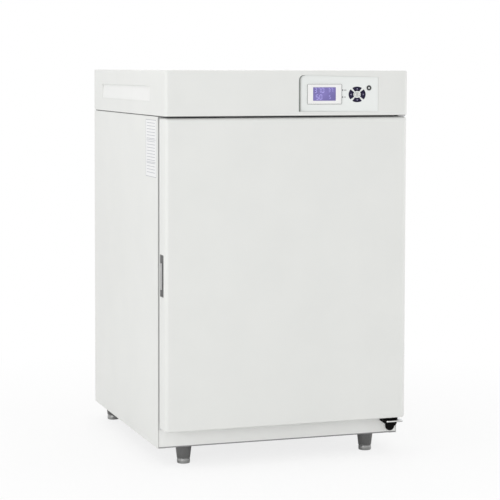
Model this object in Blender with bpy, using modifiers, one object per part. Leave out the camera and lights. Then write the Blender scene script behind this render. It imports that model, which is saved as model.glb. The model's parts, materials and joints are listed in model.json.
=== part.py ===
"""Carbon dioxide incubator with a full-height outer door and an inner glass door.

Metres, +Z up, front facing -Y. The origin is under the middle of the object, on the floor.
Each sub-part is one named object. A moving sub-part has its origin on the axis of its joint.
"""

import math

import bmesh
import bpy
from mathutils import Matrix, Vector

# Overall sizes
WIDTH = 0.590
BODY_DEPTH = 0.606
DOOR_PROUD = 0.056
FOOT_HEIGHT = 0.042
BODY_HEIGHT = 0.758
HEAD_HEIGHT = 0.105

# Sheets, gaps and seats
FIT = 0.0003
SHEET = 0.0012
PANEL_GAP = 0.0010
SEAM_GAP = 0.0021
FLANGE = 0.018
PAN_SHEET = 0.0015
SHELL_WALL = 0.0020
STRIP_HEIGHT = 0.043
STRIP_DEPTH = 0.012
FRAME_DEPTH = 0.025
REAR_INSET = 0.013
REAR_FLANGE = 0.012

# Chamber
CHAMBER_WIDTH = 0.400
CHAMBER_HEIGHT = 0.500
CHAMBER_DEPTH = 0.400
CHAMBER_BOTTOM = 0.180
CHAMBER_CORNER = 0.020
LINER_WALL = 0.0010
JACKET = 0.012
SERVICE_SPACE = 0.0827
HEATER_RADIUS = 0.0035
HEATER_RUNS = 5

# Shelves and tray
SHELF_COUNT = 3
SHELF_FIRST = 0.295
SHELF_PITCH = 0.115
SHELF_DEPTH = 0.310
SHELF_LIP = 0.012
SHELF_SIDE_GAP = 0.0045
SHELF_SET_BACK = 0.055
RACK_PLATE = 0.0030
LEDGE_WIDTH = 0.014
LEDGE_SHEET = 0.0020
TRAY_WIDTH = 0.330
TRAY_DEPTH = 0.290
TRAY_HEIGHT = 0.025

# Fan
FAN_RADIUS = 0.050
FAN_HEIGHT_IN_CHAMBER = 0.410
FAN_BLADES = 11
FAN_BLADE_WIDTH = 0.021
SHAFT_RADIUS = 0.0040
FAN_COVER_WIDTH = 0.250
FAN_COVER_HEIGHT = 0.140
FAN_COVER_DEPTH = 0.042
MOTOR_RADIUS = 0.030
MOTOR_LENGTH = 0.046

# Port, sensors and gas
PORT_X = 0.110
PORT_HEIGHT = 0.345
PORT_RADIUS = 0.0160
PORT_WALL = 0.0015
STOPPER_LENGTH = 0.050
PROBE_X = 0.160
SENSOR_X = -0.160
SENSOR_DROP = 0.040
PROBE_RADIUS = 0.0030
SENSOR_RADIUS = 0.0090
GAS_X = -0.150
TUBE_RADIUS = 0.0030
VALVE_Z = 0.693
VALVE_WIDTH = 0.032
VALVE_HEIGHT = 0.026
COIL_LENGTH = 0.022
NIPPLE_LENGTH = 0.029

# Outer door
DOOR_SIDE_GAP = 0.0012
DOOR_BOTTOM = 0.0885
DOOR_TOP_GAP = 0.0018
DOOR_THICKNESS = 0.046
DOOR_EDGE = 0.0105
DOOR_CORNER = 0.012
DOOR_LINER_THICKNESS = 0.010
DOOR_LINER_FLOOR = 0.002
HINGE_FROM_SIDE = 0.023
HINGE_SET_BACK = 0.019
PIN_RADIUS = 0.0040
BUSH_WALL = 0.0035
SEAL_FROM_SIDE = 0.033
SEAL_WIDTH = 0.016
SEAL_OVER_STRIP = 0.019
SEAL_UNDER_TOP = 0.017
GRIP_BOTTOM = 0.394
GRIP_TOP = 0.490
GRIP_FRONT = 0.0135
GRIP_WIDTH = 0.029
GRIP_DEPTH = 0.026
GRIP_WALL = 0.0015

# Inner glass door
GLASS_HALF_WIDTH = 0.215
GLASS_OVERLAP = 0.013
GLASS_THICKNESS = 0.005
REBATE_HALF_WIDTH = 0.2325
REBATE_OVERLAP = 0.0155
REBATE_DEPTH = 0.011
GLASS_SEAL = 0.0049
GLASS_SEAL_INNER = 0.0015
GLASS_HINGE_X = 0.222
GLASS_HINGE_SET_BACK = 0.005
GLASS_PIN_RADIUS = 0.0020
GLASS_BARREL_RADIUS = 0.0037
GLASS_HINGE_LENGTH = 0.044
LATCH_X = -0.205
LATCH_HEIGHT = 0.430

# Control panel, measured from the left and lower edges of its recess
PANEL_LEFT = 0.0235
PANEL_RIGHT = 0.2195
PANEL_BOTTOM = 0.811
PANEL_HEIGHT = 0.0835
PANEL_FALL = 0.0045
PANEL_CORNER = 0.012
PANEL_DEPTH_LEFT = 0.0075
PANEL_DEPTH_RIGHT = 0.0018
PANEL_SEAL = 0.0075
OVERLAY = 0.0010
BEZEL_X = 0.0641
BEZEL_Z = 0.0410
BEZEL_WIDTH = 0.0843
BEZEL_HEIGHT = 0.0487
BEZEL_THICKNESS = 0.0012
DISPLAY_X = 0.0636
DISPLAY_WIDTH = 0.0562
DISPLAY_HEIGHT = 0.0315
LIGHT_X = 0.1079
LIGHT_Z = 0.0410
LIGHT_PITCH = 0.0160
LIGHT_RADIUS = 0.0015
KEYS_X = 0.1440
KEYS_Z = 0.0390
KEYS_HALF_WIDTH = 0.0208
KEYS_HALF_HEIGHT = 0.0178
KEYS_INNER = 0.46
SIDE_KEY_SPREAD = math.radians(39)
UPRIGHT_KEY_SPREAD = math.radians(33)
CENTRE_KEY_WIDTH = 0.0158
CENTRE_KEY_HEIGHT = 0.0100
POWER_X = 0.1731
POWER_Z = 0.0540
POWER_RADIUS = 0.0058
KEY_THICKNESS = 0.0016
KEY_WELL = 0.0016

# Finger scoops in the sides of the head, and the rear of the head
SCOOP_FRONT = 0.074
SCOOP_LENGTH = 0.427
SCOOP_BOTTOM = 0.834
SCOOP_HEIGHT = 0.035
SCOOP_DEPTH = 0.006
SCOOP_EDGE = 0.0006
HEAD_REAR_INSET = 0.031
HEAD_EDGE = 0.0035
INLET_X = 0.170
INLET_HEIGHT = 0.850
INLET_WIDTH = 0.060
INLET_TALL = 0.044

# Power supply in the head
SUPPLY_X = 0.120
SUPPLY_Y = 0.120
SUPPLY_WIDTH = 0.140
SUPPLY_DEPTH = 0.120
SUPPLY_HEIGHT = 0.045

# Feet, counted inwards from the sides, the front and the rear of the casing
FRONT_FOOT_FROM_SIDE = 0.069
REAR_FOOT_FROM_SIDE = 0.038
FOOT_FRONT = 0.029
FOOT_REAR = 0.041
FOOT_TOP_RADIUS = 0.0186
FOOT_RADIUS = 0.0150
FOOT_RING = 0.0112
STUD_RADIUS = 0.0040
STUD_RISE = 0.017

# Planes worked out from the sizes
DEPTH = BODY_DEPTH + DOOR_PROUD
FRONT = -DEPTH / 2
BODY_FRONT = FRONT + DOOR_PROUD
REAR = DEPTH / 2
SIDE = WIDTH / 2
BASE = FOOT_HEIGHT
SEAM = BASE + BODY_HEIGHT
TOP = SEAM + HEAD_HEIGHT
INSIDE = SIDE - SHEET
FRAME_SIDE = INSIDE - PANEL_GAP
STRIP_TOP = BASE + STRIP_HEIGHT
FRAME_BACK = BODY_FRONT + FRAME_DEPTH
BODY_TOP = SEAM - SHEET - FIT
PAN_UNDER = BASE + SHEET + FIT
PAN_TOP = PAN_UNDER + PAN_SHEET
CHAMBER_TOP = CHAMBER_BOTTOM + CHAMBER_HEIGHT
CHAMBER_SIDE = CHAMBER_WIDTH / 2
LINER_FRONT = FRAME_BACK + FIT
CHAMBER_BACK = LINER_FRONT + CHAMBER_DEPTH
LINER_BACK = CHAMBER_BACK + LINER_WALL
REAR_PANEL = REAR - REAR_INSET
FOAM_BACK = REAR_PANEL - SERVICE_SPACE
SENSOR_HEIGHT = CHAMBER_TOP - SENSOR_DROP
HEAD_BOTTOM = SEAM + SEAM_GAP
FLOOR_UNDER = SEAM + FIT
FLOOR_TOP = FLOOR_UNDER + PAN_SHEET
HEAD_REAR = REAR - HEAD_REAR_INSET
DOOR_SIDE = SIDE - DOOR_SIDE_GAP
DOOR_TOP = FLOOR_UNDER - DOOR_TOP_GAP
DOOR_BACK = FRONT + DOOR_THICKNESS
DOOR_LINER_FRONT = DOOR_BACK - DOOR_LINER_THICKNESS
DOOR_RECESS = DOOR_LINER_FRONT + DOOR_LINER_FLOOR
HINGE_X = SIDE - HINGE_FROM_SIDE
HINGE_Y = FRONT + HINGE_SET_BACK
SEAL_SIDE = SIDE - SEAL_FROM_SIDE
SEAL_BOTTOM = STRIP_TOP + SEAL_OVER_STRIP
SEAL_TOP = BODY_TOP - SEAL_UNDER_TOP
BUSH_RADIUS = PIN_RADIUS + FIT + BUSH_WALL
GLASS_BOTTOM = CHAMBER_BOTTOM - GLASS_OVERLAP
GLASS_TOP = CHAMBER_TOP + GLASS_OVERLAP
REBATE_BOTTOM = CHAMBER_BOTTOM - REBATE_OVERLAP
REBATE_TOP = CHAMBER_TOP + REBATE_OVERLAP
REBATE_FLOOR = BODY_FRONT + REBATE_DEPTH
GLASS_BACK = REBATE_FLOOR - GLASS_SEAL - 2 * FIT
GLASS_FRONT = GLASS_BACK - GLASS_THICKNESS
GLASS_HINGE_Y = BODY_FRONT + GLASS_HINGE_SET_BACK
FAN_Z = CHAMBER_BOTTOM + FAN_HEIGHT_IN_CHAMBER
FAN_COVER_FRONT = CHAMBER_BACK - FAN_COVER_DEPTH
SHELF_FRONT = BODY_FRONT + SHELF_SET_BACK
RACK_INSIDE = CHAMBER_SIDE - FIT - RACK_PLATE
SHELF_SIDE = CHAMBER_SIDE - SHELF_SIDE_GAP
PANEL_LENGTH = PANEL_RIGHT - PANEL_LEFT
PANEL_TILT = math.atan((PANEL_DEPTH_LEFT - PANEL_DEPTH_RIGHT) / PANEL_LENGTH)
PANEL_RUN = PANEL_LENGTH / math.cos(PANEL_TILT)
OVERLAY_FRONT = -FIT - OVERLAY
POCKET_BACK = FRONT + PANEL_DEPTH_LEFT + KEY_WELL + 0.0034
SCOOP_REAR = BODY_FRONT + SCOOP_FRONT + SCOOP_LENGTH

STEPS = 20
BORE_STEPS = 16
FLAT = Matrix.Identity(4)
UPRIGHT = Matrix.Rotation(math.pi / 2, 4, "X")
# For outlines given as (depth, height) and as (height, depth), with the thickness along X
SIDEWAYS = Matrix(((0, 0, 1, 0), (1, 0, 0, 0), (0, 1, 0, 0), (0, 0, 0, 1)))
TUMBLED = Matrix(((0, 0, -1, 0), (0, 1, 0, 0), (1, 0, 0, 0), (0, 0, 0, 1)))

for leftover in list(bpy.data.objects):
    bpy.data.objects.remove(leftover, do_unlink=True)

PARTS = bpy.data.collections.new("carbon_dioxide_incubator")
CUTTERS = bpy.data.collections.new("cutters")
bpy.context.scene.collection.children.link(PARTS)
bpy.context.scene.collection.children.link(CUTTERS)


def finish(name, colour, roughness, metallic=0.0):
    """A Principled material."""
    material = bpy.data.materials.new(name)
    material.use_nodes = True
    shader = material.node_tree.nodes["Principled BSDF"]
    shader.inputs["Base Color"].default_value = (*colour, 1.0)
    shader.inputs["Roughness"].default_value = roughness
    shader.inputs["Metallic"].default_value = metallic
    return material


PAINT = finish("casing_paint", (0.77, 0.78, 0.76), 0.45)
STRIP_PAINT = finish("base_strip_paint", (0.66, 0.66, 0.65), 0.5)
DARK_SHEET = finish("dark_sheet", (0.05, 0.05, 0.05), 0.6)
FRAME_PLASTIC = finish("frame_plastic", (0.75, 0.76, 0.75), 0.5)
STAINLESS = finish("stainless_steel", (0.62, 0.62, 0.61), 0.3, 1.0)
ZINC = finish("zinc_sheet", (0.55, 0.56, 0.57), 0.4, 1.0)
FOAM = finish("foam", (0.75, 0.68, 0.42), 0.9)
BLACK_METAL = finish("black_metal", (0.02, 0.02, 0.02), 0.4)
BLACK_PLASTIC = finish("black_plastic", (0.03, 0.03, 0.03), 0.45)
GREY_PLASTIC = finish("grey_plastic", (0.25, 0.25, 0.25), 0.5)
WHITE_PLASTIC = finish("white_plastic", (0.80, 0.80, 0.78), 0.4)
OVERLAY_FILM = finish("overlay_film", (0.76, 0.79, 0.79), 0.35)
DISPLAY_BLUE = finish("display_blue", (0.16, 0.15, 0.30), 0.15)
KEY_NAVY = finish("key_navy", (0.05, 0.04, 0.12), 0.4)
BOARD_GREEN = finish("board_green", (0.03, 0.16, 0.08), 0.5)
BRASS = finish("brass", (0.70, 0.52, 0.22), 0.3, 1.0)
SILICONE = finish("silicone", (0.62, 0.64, 0.64), 0.6)
SEAL_GREY = finish("seal_grey", (0.30, 0.30, 0.30), 0.7)
RUBBER = finish("foot_rubber", (0.03, 0.03, 0.03), 0.7)
GLASS = finish("glass", (0.75, 0.85, 0.82), 0.05)
CLEAR_LENS = finish("clear_lens", (0.10, 0.10, 0.10), 0.2)


def place(name, mesh, material, origin=(0.0, 0.0, 0.0), parent=None, turn=(0.0, 0.0, 0.0)):
    """Links a sub-part. Its mesh is given in its parent's space, and its origin moves to the joint axis."""
    obj = bpy.data.objects.new(name, mesh)
    PARTS.objects.link(obj)
    mesh.transform(Matrix.Translation(-Vector(origin)))
    obj.location = origin
    obj.rotation_euler = turn
    obj.parent = parent
    obj.data.materials.append(material)
    return obj


def tool(name, mesh, parent=None):
    """Links a cutter or a shape to be joined, which isn't a sub-part itself."""
    obj = bpy.data.objects.new(name, mesh)
    CUTTERS.objects.link(obj)
    obj.parent = parent
    obj.hide_render = True
    obj.display_type = "WIRE"
    return obj


def cut(obj, *tools, operation="DIFFERENCE"):
    for other in tools:
        boolean = obj.modifiers.new(other.name, "BOOLEAN")
        boolean.operation = operation
        boolean.object = other


def join(obj, *tools):
    cut(obj, *tools, operation="UNION")


def along(axis):
    """Picks the edges that run along an axis, given as 0, 1 or 2."""
    others = [i for i in range(3) if i != axis]
    return lambda a, b, low, high: all(abs(a[i] - b[i]) < 1e-6 for i in others)


def around(axis, end):
    """Picks the edges that lie in one side of the box: end is 0 for its low side and 1 for its high side."""
    return lambda a, b, low, high: all(
        abs(p[axis] - (low, high)[end][axis]) < 1e-6 for p in (a, b)
    )


def box_mesh(low, high, rounds=(), open_sides=(), segments=3):
    """A box between two corners. Each of rounds is (edge picker, radius), and open_sides lists (axis, end)."""
    low, high = Vector(low), Vector(high)
    work = bmesh.new()
    bmesh.ops.create_cube(work, size=1.0)
    bmesh.ops.scale(work, vec=high - low, verts=work.verts)
    bmesh.ops.translate(work, vec=(low + high) / 2, verts=work.verts)
    for picker, radius in rounds:
        edges = [e for e in work.edges if picker(e.verts[0].co, e.verts[1].co, low, high)]
        bmesh.ops.bevel(
            work, geom=edges, offset=radius, segments=segments, profile=0.5, affect="EDGES"
        )
    for axis, end in open_sides:
        wall = (low, high)[end][axis]
        lids = [f for f in work.faces if all(abs(v.co[axis] - wall) < 1e-6 for v in f.verts)]
        bmesh.ops.delete(work, geom=lids, context="FACES")
    return to_mesh(work)


def to_mesh(work):
    mesh = bpy.data.meshes.new("shape")
    work.to_mesh(mesh)
    work.free()
    return mesh


def thicken(obj, thickness, offset=-1.0):
    """Gives an open surface its wall, to the inside by default."""
    solidify = obj.modifiers.new("wall", "SOLIDIFY")
    solidify.thickness = thickness
    solidify.offset = offset
    solidify.use_even_offset = True
    return obj


def folded_mesh(profile, start, run):
    """A folded sheet: a line of points, given as full positions, swept by the vector run."""
    work = bmesh.new()
    corners = [work.verts.new(Vector(p) + Vector(start)) for p in profile]
    edges = [work.edges.new(pair) for pair in zip(corners, corners[1:])]
    swept = bmesh.ops.extrude_edge_only(work, edges=edges)
    moved = [v for v in swept["geom"] if isinstance(v, bmesh.types.BMVert)]
    bmesh.ops.translate(work, vec=run, verts=moved)
    return to_mesh(work)


def turned_mesh(profile, steps=STEPS, closed=False):
    """A turned solid about Z. The profile (radius, height) runs down its outer side."""
    work = bmesh.new()
    points = [work.verts.new((radius, 0.0, height)) for radius, height in profile]
    pairs = list(zip(points, points[1:]))
    if closed:
        pairs.append((points[-1], points[0]))
    for pair in pairs:
        work.edges.new(pair)
    guide = bpy.data.objects.new("guide", to_mesh(work))
    CUTTERS.objects.link(guide)
    screw = guide.modifiers.new("turn", "SCREW")
    screw.steps = screw.render_steps = steps
    screw.use_merge_vertices = True
    screw.merge_threshold = 1e-5
    return evaluated_mesh(guide)


def evaluated_mesh(guide):
    """The mesh that a guide object makes, welded, and the guide removed."""
    graph = bpy.context.evaluated_depsgraph_get()
    mesh = bpy.data.meshes.new_from_object(guide.evaluated_get(graph))
    mesh.transform(guide.matrix_world)
    bpy.data.objects.remove(guide, do_unlink=True)
    work = bmesh.new()
    work.from_mesh(mesh)
    bmesh.ops.remove_doubles(work, verts=work.verts, dist=1e-6)
    bmesh.ops.recalc_face_normals(work, faces=work.faces)
    work.to_mesh(mesh)
    work.free()
    mesh.materials.clear()
    return mesh


def turned_on(profile, position, facing="Z", steps=STEPS, closed=False):
    """A turned mesh whose height runs along facing: Z up, Y to the rear, or -Y to the front."""
    mesh = turned_mesh(profile, steps, closed)
    if facing != "Z":
        angle = -math.pi / 2 if facing == "Y" else math.pi / 2
        mesh.transform(Matrix.Rotation(angle, 4, "X"))
    mesh.transform(Matrix.Translation(position))
    return mesh


def rod(radius, low, high, position, facing="Z", steps=STEPS):
    """A plain cylinder from low to high along its axis."""
    profile = [(0.0, high), (radius, high), (radius, low), (0.0, low)]
    return turned_on(profile, position, facing, steps)


def plate_mesh(loops, low, high, frame=UPRIGHT, edge=0.0):
    """A flat plate from closed outlines, the first outside and the rest holes or further islands.

    In its own plane an outline is (across, up). The plate lies from depth low to depth high, counted
    to the rear for the upright frame. edge rounds its rims.
    """
    curve = bpy.data.curves.new("outline", "CURVE")
    curve.dimensions = "2D"
    curve.fill_mode = "BOTH"
    curve.extrude = (high - low) / 2 - edge
    curve.bevel_depth = edge
    curve.bevel_resolution = 0
    curve.offset = -edge
    for loop in loops:
        spline = curve.splines.new("POLY")
        spline.points.add(len(loop) - 1)
        for point, (across, up) in zip(spline.points, loop):
            point.co = (across, up, 0.0, 1.0)
        spline.use_cyclic_u = True
    guide = bpy.data.objects.new("guide", curve)
    CUTTERS.objects.link(guide)
    bpy.context.view_layer.update()
    mesh = evaluated_mesh(guide)
    mesh.transform(frame @ Matrix.Translation((0.0, 0.0, -(low + high) / 2)))
    return mesh


def tube_mesh(path, radius, resolution=2):
    """A round tube or wire with closed ends along a list of points."""
    curve = bpy.data.curves.new("tube", "CURVE")
    curve.dimensions = "3D"
    curve.bevel_depth = radius
    curve.bevel_resolution = resolution
    curve.use_fill_caps = True
    spline = curve.splines.new("POLY")
    spline.points.add(len(path) - 1)
    for point, position in zip(spline.points, path):
        point.co = (*position, 1.0)
    guide = bpy.data.objects.new("guide", curve)
    CUTTERS.objects.link(guide)
    bpy.context.view_layer.update()
    return evaluated_mesh(guide)


def arc(centre, radius, start, stop, count):
    """Points on an arc, angles in degrees."""
    angles = [math.radians(start + (stop - start) * i / count) for i in range(count + 1)]
    return [
        (centre[0] + radius * math.cos(a), centre[1] + radius * math.sin(a)) for a in angles
    ]


def rounded(left, bottom, right, top, radius, count=2):
    """A rectangle with round corners, anticlockwise."""
    corners = ((right, top, 0), (left, top, 90), (left, bottom, 180), (right, bottom, 270))
    points = []
    for across, up, start in corners:
        inward_x = -radius if across == right else radius
        inward_y = -radius if up == top else radius
        centre = (across + inward_x, up + inward_y)
        points += arc(centre, radius, start, start + 90, count)
    return points


def slots(columns, rows, centre, pitch, size):
    """A grid of rectangular outlines."""
    found = []
    for column in range(columns):
        for row in range(rows):
            across = centre[0] + (column - (columns - 1) / 2) * pitch[0]
            up = centre[1] + (row - (rows - 1) / 2) * pitch[1]
            found.append([
                (across - size[0] / 2, up - size[1] / 2),
                (across + size[0] / 2, up - size[1] / 2),
                (across + size[0] / 2, up + size[1] / 2),
                (across - size[0] / 2, up + size[1] / 2),
            ])
    return found


def make_casing():
    """Side panels, base pan, base strip, rear panel and the sheet under the control head."""
    for side, name in ((-1, "side_panel_left"), (1, "side_panel_right")):
        profile = [
            (side * (SIDE - FLANGE), BODY_FRONT, SEAM),
            (side * SIDE, BODY_FRONT, SEAM),
            (side * SIDE, BODY_FRONT, BASE),
            (side * (SIDE - FLANGE), BODY_FRONT, BASE),
        ]
        mesh = folded_mesh(profile, (0, 0, 0), (0, BODY_DEPTH, 0))
        thicken(place(name, mesh, PAINT), SHEET, offset=side)

    pan_front = BODY_FRONT + STRIP_DEPTH + FIT
    pan_rear = REAR_PANEL - REAR_FLANGE - 2 * FIT
    profile = [
        (0, pan_front, PAN_UNDER + 0.020),
        (0, pan_front, PAN_UNDER),
        (0, pan_rear, PAN_UNDER),
        (0, pan_rear, PAN_UNDER + 0.020),
    ]
    half = INSIDE - FIT
    mesh = folded_mesh(profile, (-half, 0, 0), (2 * half, 0, 0))
    pan = thicken(place("base_pan", mesh, ZINC), PAN_SHEET, offset=1.0)
    for index, (x, y) in enumerate(foot_places()):
        hole = rod(STUD_RADIUS + FIT, PAN_UNDER - 0.01, PAN_TOP + 0.01, (x, y, 0), steps=16)
        cut(pan, tool(f"stud_hole_{index}", hole))

    strip = box_mesh(
        (-FRAME_SIDE, BODY_FRONT, PAN_UNDER),
        (FRAME_SIDE, BODY_FRONT + STRIP_DEPTH, STRIP_TOP),
        open_sides=[(1, 1)],
    )
    thicken(place("base_strip", strip, STRIP_PAINT), SHEET)

    panel = box_mesh(
        (-half, REAR_PANEL - REAR_FLANGE, PAN_TOP + FIT),
        (half, REAR_PANEL, BODY_TOP),
        open_sides=[(1, 0)],
    )
    panel = thicken(place("rear_panel", panel, PAINT), SHEET)
    louvres = slots(2, 6, (0, SENSOR_HEIGHT), (SIDE, 0.018), (SIDE / 2, 0.006))
    cut(panel, tool("louvre_slots", plate_mesh(louvres, REAR_PANEL - 0.004, REAR_PANEL + 0.004)))
    port = (PORT_X, REAR_PANEL, PORT_HEIGHT)
    sleeve = rod(PORT_RADIUS + PORT_WALL + FIT, -0.02, 0.02, port, "Y", steps=BORE_STEPS)
    cut(panel, tool("port_hole_in_panel", sleeve))

    floor = box_mesh(
        (-(SIDE - SHELL_WALL - 0.0005), FRONT + SHELL_WALL + 0.0005, FLOOR_UNDER),
        (SIDE - SHELL_WALL - 0.0005, REAR - 0.004, FLOOR_TOP),
        rounds=[(lambda a, b, low, high: along(2)(a, b, low, high) and a.y < 0, 0.0095)],
    )
    floor = place("head_floor", floor, DARK_SHEET)
    pin = rod(PIN_RADIUS + FIT, FLOOR_UNDER - 0.01, FLOOR_TOP + 0.01, (HINGE_X, HINGE_Y, 0))
    hose = rod(TUBE_RADIUS + 0.002, FLOOR_UNDER - 0.01, FLOOR_TOP + 0.01, (GAS_X, gas_drop(), 0))
    cut(floor, tool("pin_hole_in_floor", pin), tool("tube_hole_in_floor", hose))


def foot_places():
    rows = (
        (SIDE - FRONT_FOOT_FROM_SIDE, BODY_FRONT + FOOT_FRONT),
        (SIDE - REAR_FOOT_FROM_SIDE, REAR - FOOT_REAR),
    )
    return [(side * x, y) for x, y in rows for side in (-1, 1)]


def gas_drop():
    """Where the gas tube comes down behind the foam."""
    return FOAM_BACK + 0.027


def make_front_frame():
    """The frame round the chamber opening, with the step that the glass door closes into."""
    mesh = box_mesh((-FRAME_SIDE, BODY_FRONT, STRIP_TOP + FIT), (FRAME_SIDE, FRAME_BACK, BODY_TOP))
    frame = place("front_frame", mesh, FRAME_PLASTIC)
    opening = rounded(-CHAMBER_SIDE, CHAMBER_BOTTOM, CHAMBER_SIDE, CHAMBER_TOP, CHAMBER_CORNER, 3)
    rebate = rounded(-REBATE_HALF_WIDTH, REBATE_BOTTOM, REBATE_HALF_WIDTH, REBATE_TOP, 0.004)
    cut(
        frame,
        tool("opening_cutter", plate_mesh([opening], BODY_FRONT - 0.01, FRAME_BACK + 0.01)),
        tool("rebate_cutter", plate_mesh([rebate], BODY_FRONT - 0.01, REBATE_FLOOR)),
    )
    for name, low, high in (
        ("upper_pin_hole", REBATE_TOP - 0.005, REBATE_TOP + 0.010),
        ("lower_pin_hole", REBATE_BOTTOM - 0.010, REBATE_BOTTOM + 0.005),
    ):
        hole = rod(GLASS_PIN_RADIUS + FIT, low, high, (GLASS_HINGE_X, GLASS_HINGE_Y, 0), steps=12)
        cut(frame, tool(name, hole))

    seal_out = (GLASS_HALF_WIDTH + 0.0015, REBATE_OVERLAP - 0.0010)
    outer = rounded(
        -seal_out[0], CHAMBER_BOTTOM - seal_out[1], seal_out[0], CHAMBER_TOP + seal_out[1], 0.008
    )
    inner = rounded(
        -CHAMBER_SIDE - GLASS_SEAL_INNER,
        CHAMBER_BOTTOM - GLASS_SEAL_INNER,
        CHAMBER_SIDE + GLASS_SEAL_INNER,
        CHAMBER_TOP + GLASS_SEAL_INNER,
        CHAMBER_CORNER,
    )
    seal = plate_mesh([outer, inner], REBATE_FLOOR - FIT - GLASS_SEAL, REBATE_FLOOR - FIT, edge=0.0012)
    place("glass_gasket", seal, SILICONE)


def make_insulation():
    """The foam round the chamber. An air gap between it and the liner is the heated jacket."""
    half = INSIDE - FIT
    mesh = box_mesh((-half, FRAME_BACK + FIT, PAN_TOP + FIT), (half, FOAM_BACK, BODY_TOP))
    foam = place("insulation", mesh, FOAM)
    out = LINER_WALL + JACKET
    cavity = box_mesh(
        (-CHAMBER_SIDE - out, FRAME_BACK - 0.01, CHAMBER_BOTTOM - out),
        (CHAMBER_SIDE + out, LINER_BACK + JACKET, CHAMBER_TOP + out),
    )
    cut(foam, tool("jacket_cavity", cavity))
    bores = (
        ("shaft_bore", SHAFT_RADIUS + 0.002, 0.0, FAN_Z),
        ("probe_bore", PROBE_RADIUS + FIT, PROBE_X, SENSOR_HEIGHT),
        ("sensor_bore", SENSOR_RADIUS + FIT, SENSOR_X, SENSOR_HEIGHT),
        ("port_bore", PORT_RADIUS + PORT_WALL + FIT, PORT_X, PORT_HEIGHT),
    )
    for name, radius, x, z in bores:
        bore = rod(radius, 0.0, FOAM_BACK - LINER_BACK + 0.02, (x, LINER_BACK, z), "Y", steps=BORE_STEPS)
        cut(foam, tool(name, bore))
    for index, (x, y) in enumerate(foot_places()[:2]):
        well = rod(STUD_RADIUS + 0.003, 0.0, STUD_RISE + 0.008, (x, y, PAN_UNDER), steps=12)
        cut(foam, tool(f"stud_well_{index}", well))


def make_liner():
    """The stainless chamber with round corners, open at the front."""
    low = (-CHAMBER_SIDE - LINER_WALL, LINER_FRONT, CHAMBER_BOTTOM - LINER_WALL)
    high = (CHAMBER_SIDE + LINER_WALL, LINER_BACK, CHAMBER_TOP + LINER_WALL)
    mesh = box_mesh(
        low,
        high,
        rounds=[(along(1), CHAMBER_CORNER + LINER_WALL), (around(1, 1), 0.008)],
        open_sides=[(1, 0)],
    )
    liner = thicken(place("chamber_liner", mesh, STAINLESS), LINER_WALL)
    holes = (
        ("shaft_hole", SHAFT_RADIUS + 0.0010, 0.0, FAN_Z),
        ("probe_hole", PROBE_RADIUS + FIT, PROBE_X, SENSOR_HEIGHT),
        ("sensor_hole", SENSOR_RADIUS + FIT, SENSOR_X, SENSOR_HEIGHT),
        ("port_hole", PORT_RADIUS + PORT_WALL + FIT, PORT_X, PORT_HEIGHT),
    )
    for name, radius, x, z in holes:
        hole = rod(radius, -0.01, 0.01, (x, LINER_BACK, z), "Y", steps=BORE_STEPS)
        cut(liner, tool(name, hole))


def make_heater():
    """A tube heater laid to and fro in the jacket under the liner's floor."""
    height = CHAMBER_BOTTOM - LINER_WALL - JACKET + FIT + HEATER_RADIUS
    reach = CHAMBER_SIDE - 0.035
    pitch = (CHAMBER_DEPTH - 0.10) / (HEATER_RUNS - 1)
    bend = pitch / 2
    path = []
    for run in range(HEATER_RUNS):
        y = LINER_FRONT + 0.05 + run * pitch
        side = 1 if run % 2 == 0 else -1
        path.append((-side * reach, y, height))
        path.append((side * reach, y, height))
        if run < HEATER_RUNS - 1:
            turn = arc((0, 0), bend, -90, 90, 5)[1:-1]
            path += [(side * (reach + x), y + bend + across, height) for x, across in turn]
    place("jacket_heater", tube_mesh(path, HEATER_RADIUS, resolution=1), BLACK_METAL)


def make_racks():
    """A punched side plate each side, with a folded ledge under every shelf."""
    rear = SHELF_FRONT + SHELF_DEPTH + 0.004
    front = SHELF_FRONT - 0.012
    bottom = CHAMBER_BOTTOM + 0.030
    top = SHELF_FIRST + SHELF_PITCH * (SHELF_COUNT - 1) + 0.060
    windows = []
    levels = [bottom] + [SHELF_FIRST + SHELF_PITCH * i for i in range(SHELF_COUNT)] + [top]
    for low, high in zip(levels, levels[1:]):
        windows.append(rounded(front + 0.014, low + 0.010, rear - 0.014, high - 0.012, 0.010, 2))
    outer = [(front, bottom), (rear, bottom), (rear, top), (front, top)]
    for side, name in ((-1, "shelf_rack_left"), (1, "shelf_rack_right")):
        inside, outside = side * RACK_INSIDE, side * (CHAMBER_SIDE - FIT)
        low, high = min(inside, outside), max(inside, outside)
        plate = plate_mesh([outer] + windows, -high, -low, frame=SIDEWAYS)
        rack = place(name, plate, STAINLESS)
        for level in range(SHELF_COUNT):
            z = SHELF_FIRST + SHELF_PITCH * level
            reach = side * (RACK_INSIDE - LEDGE_WIDTH)
            root = side * (RACK_INSIDE + RACK_PLATE / 2)
            ledge = box_mesh(
                (min(reach, root), front, z - LEDGE_SHEET), (max(reach, root), rear, z)
            )
            join(rack, tool(f"{name}_ledge_{level}", ledge))


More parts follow.
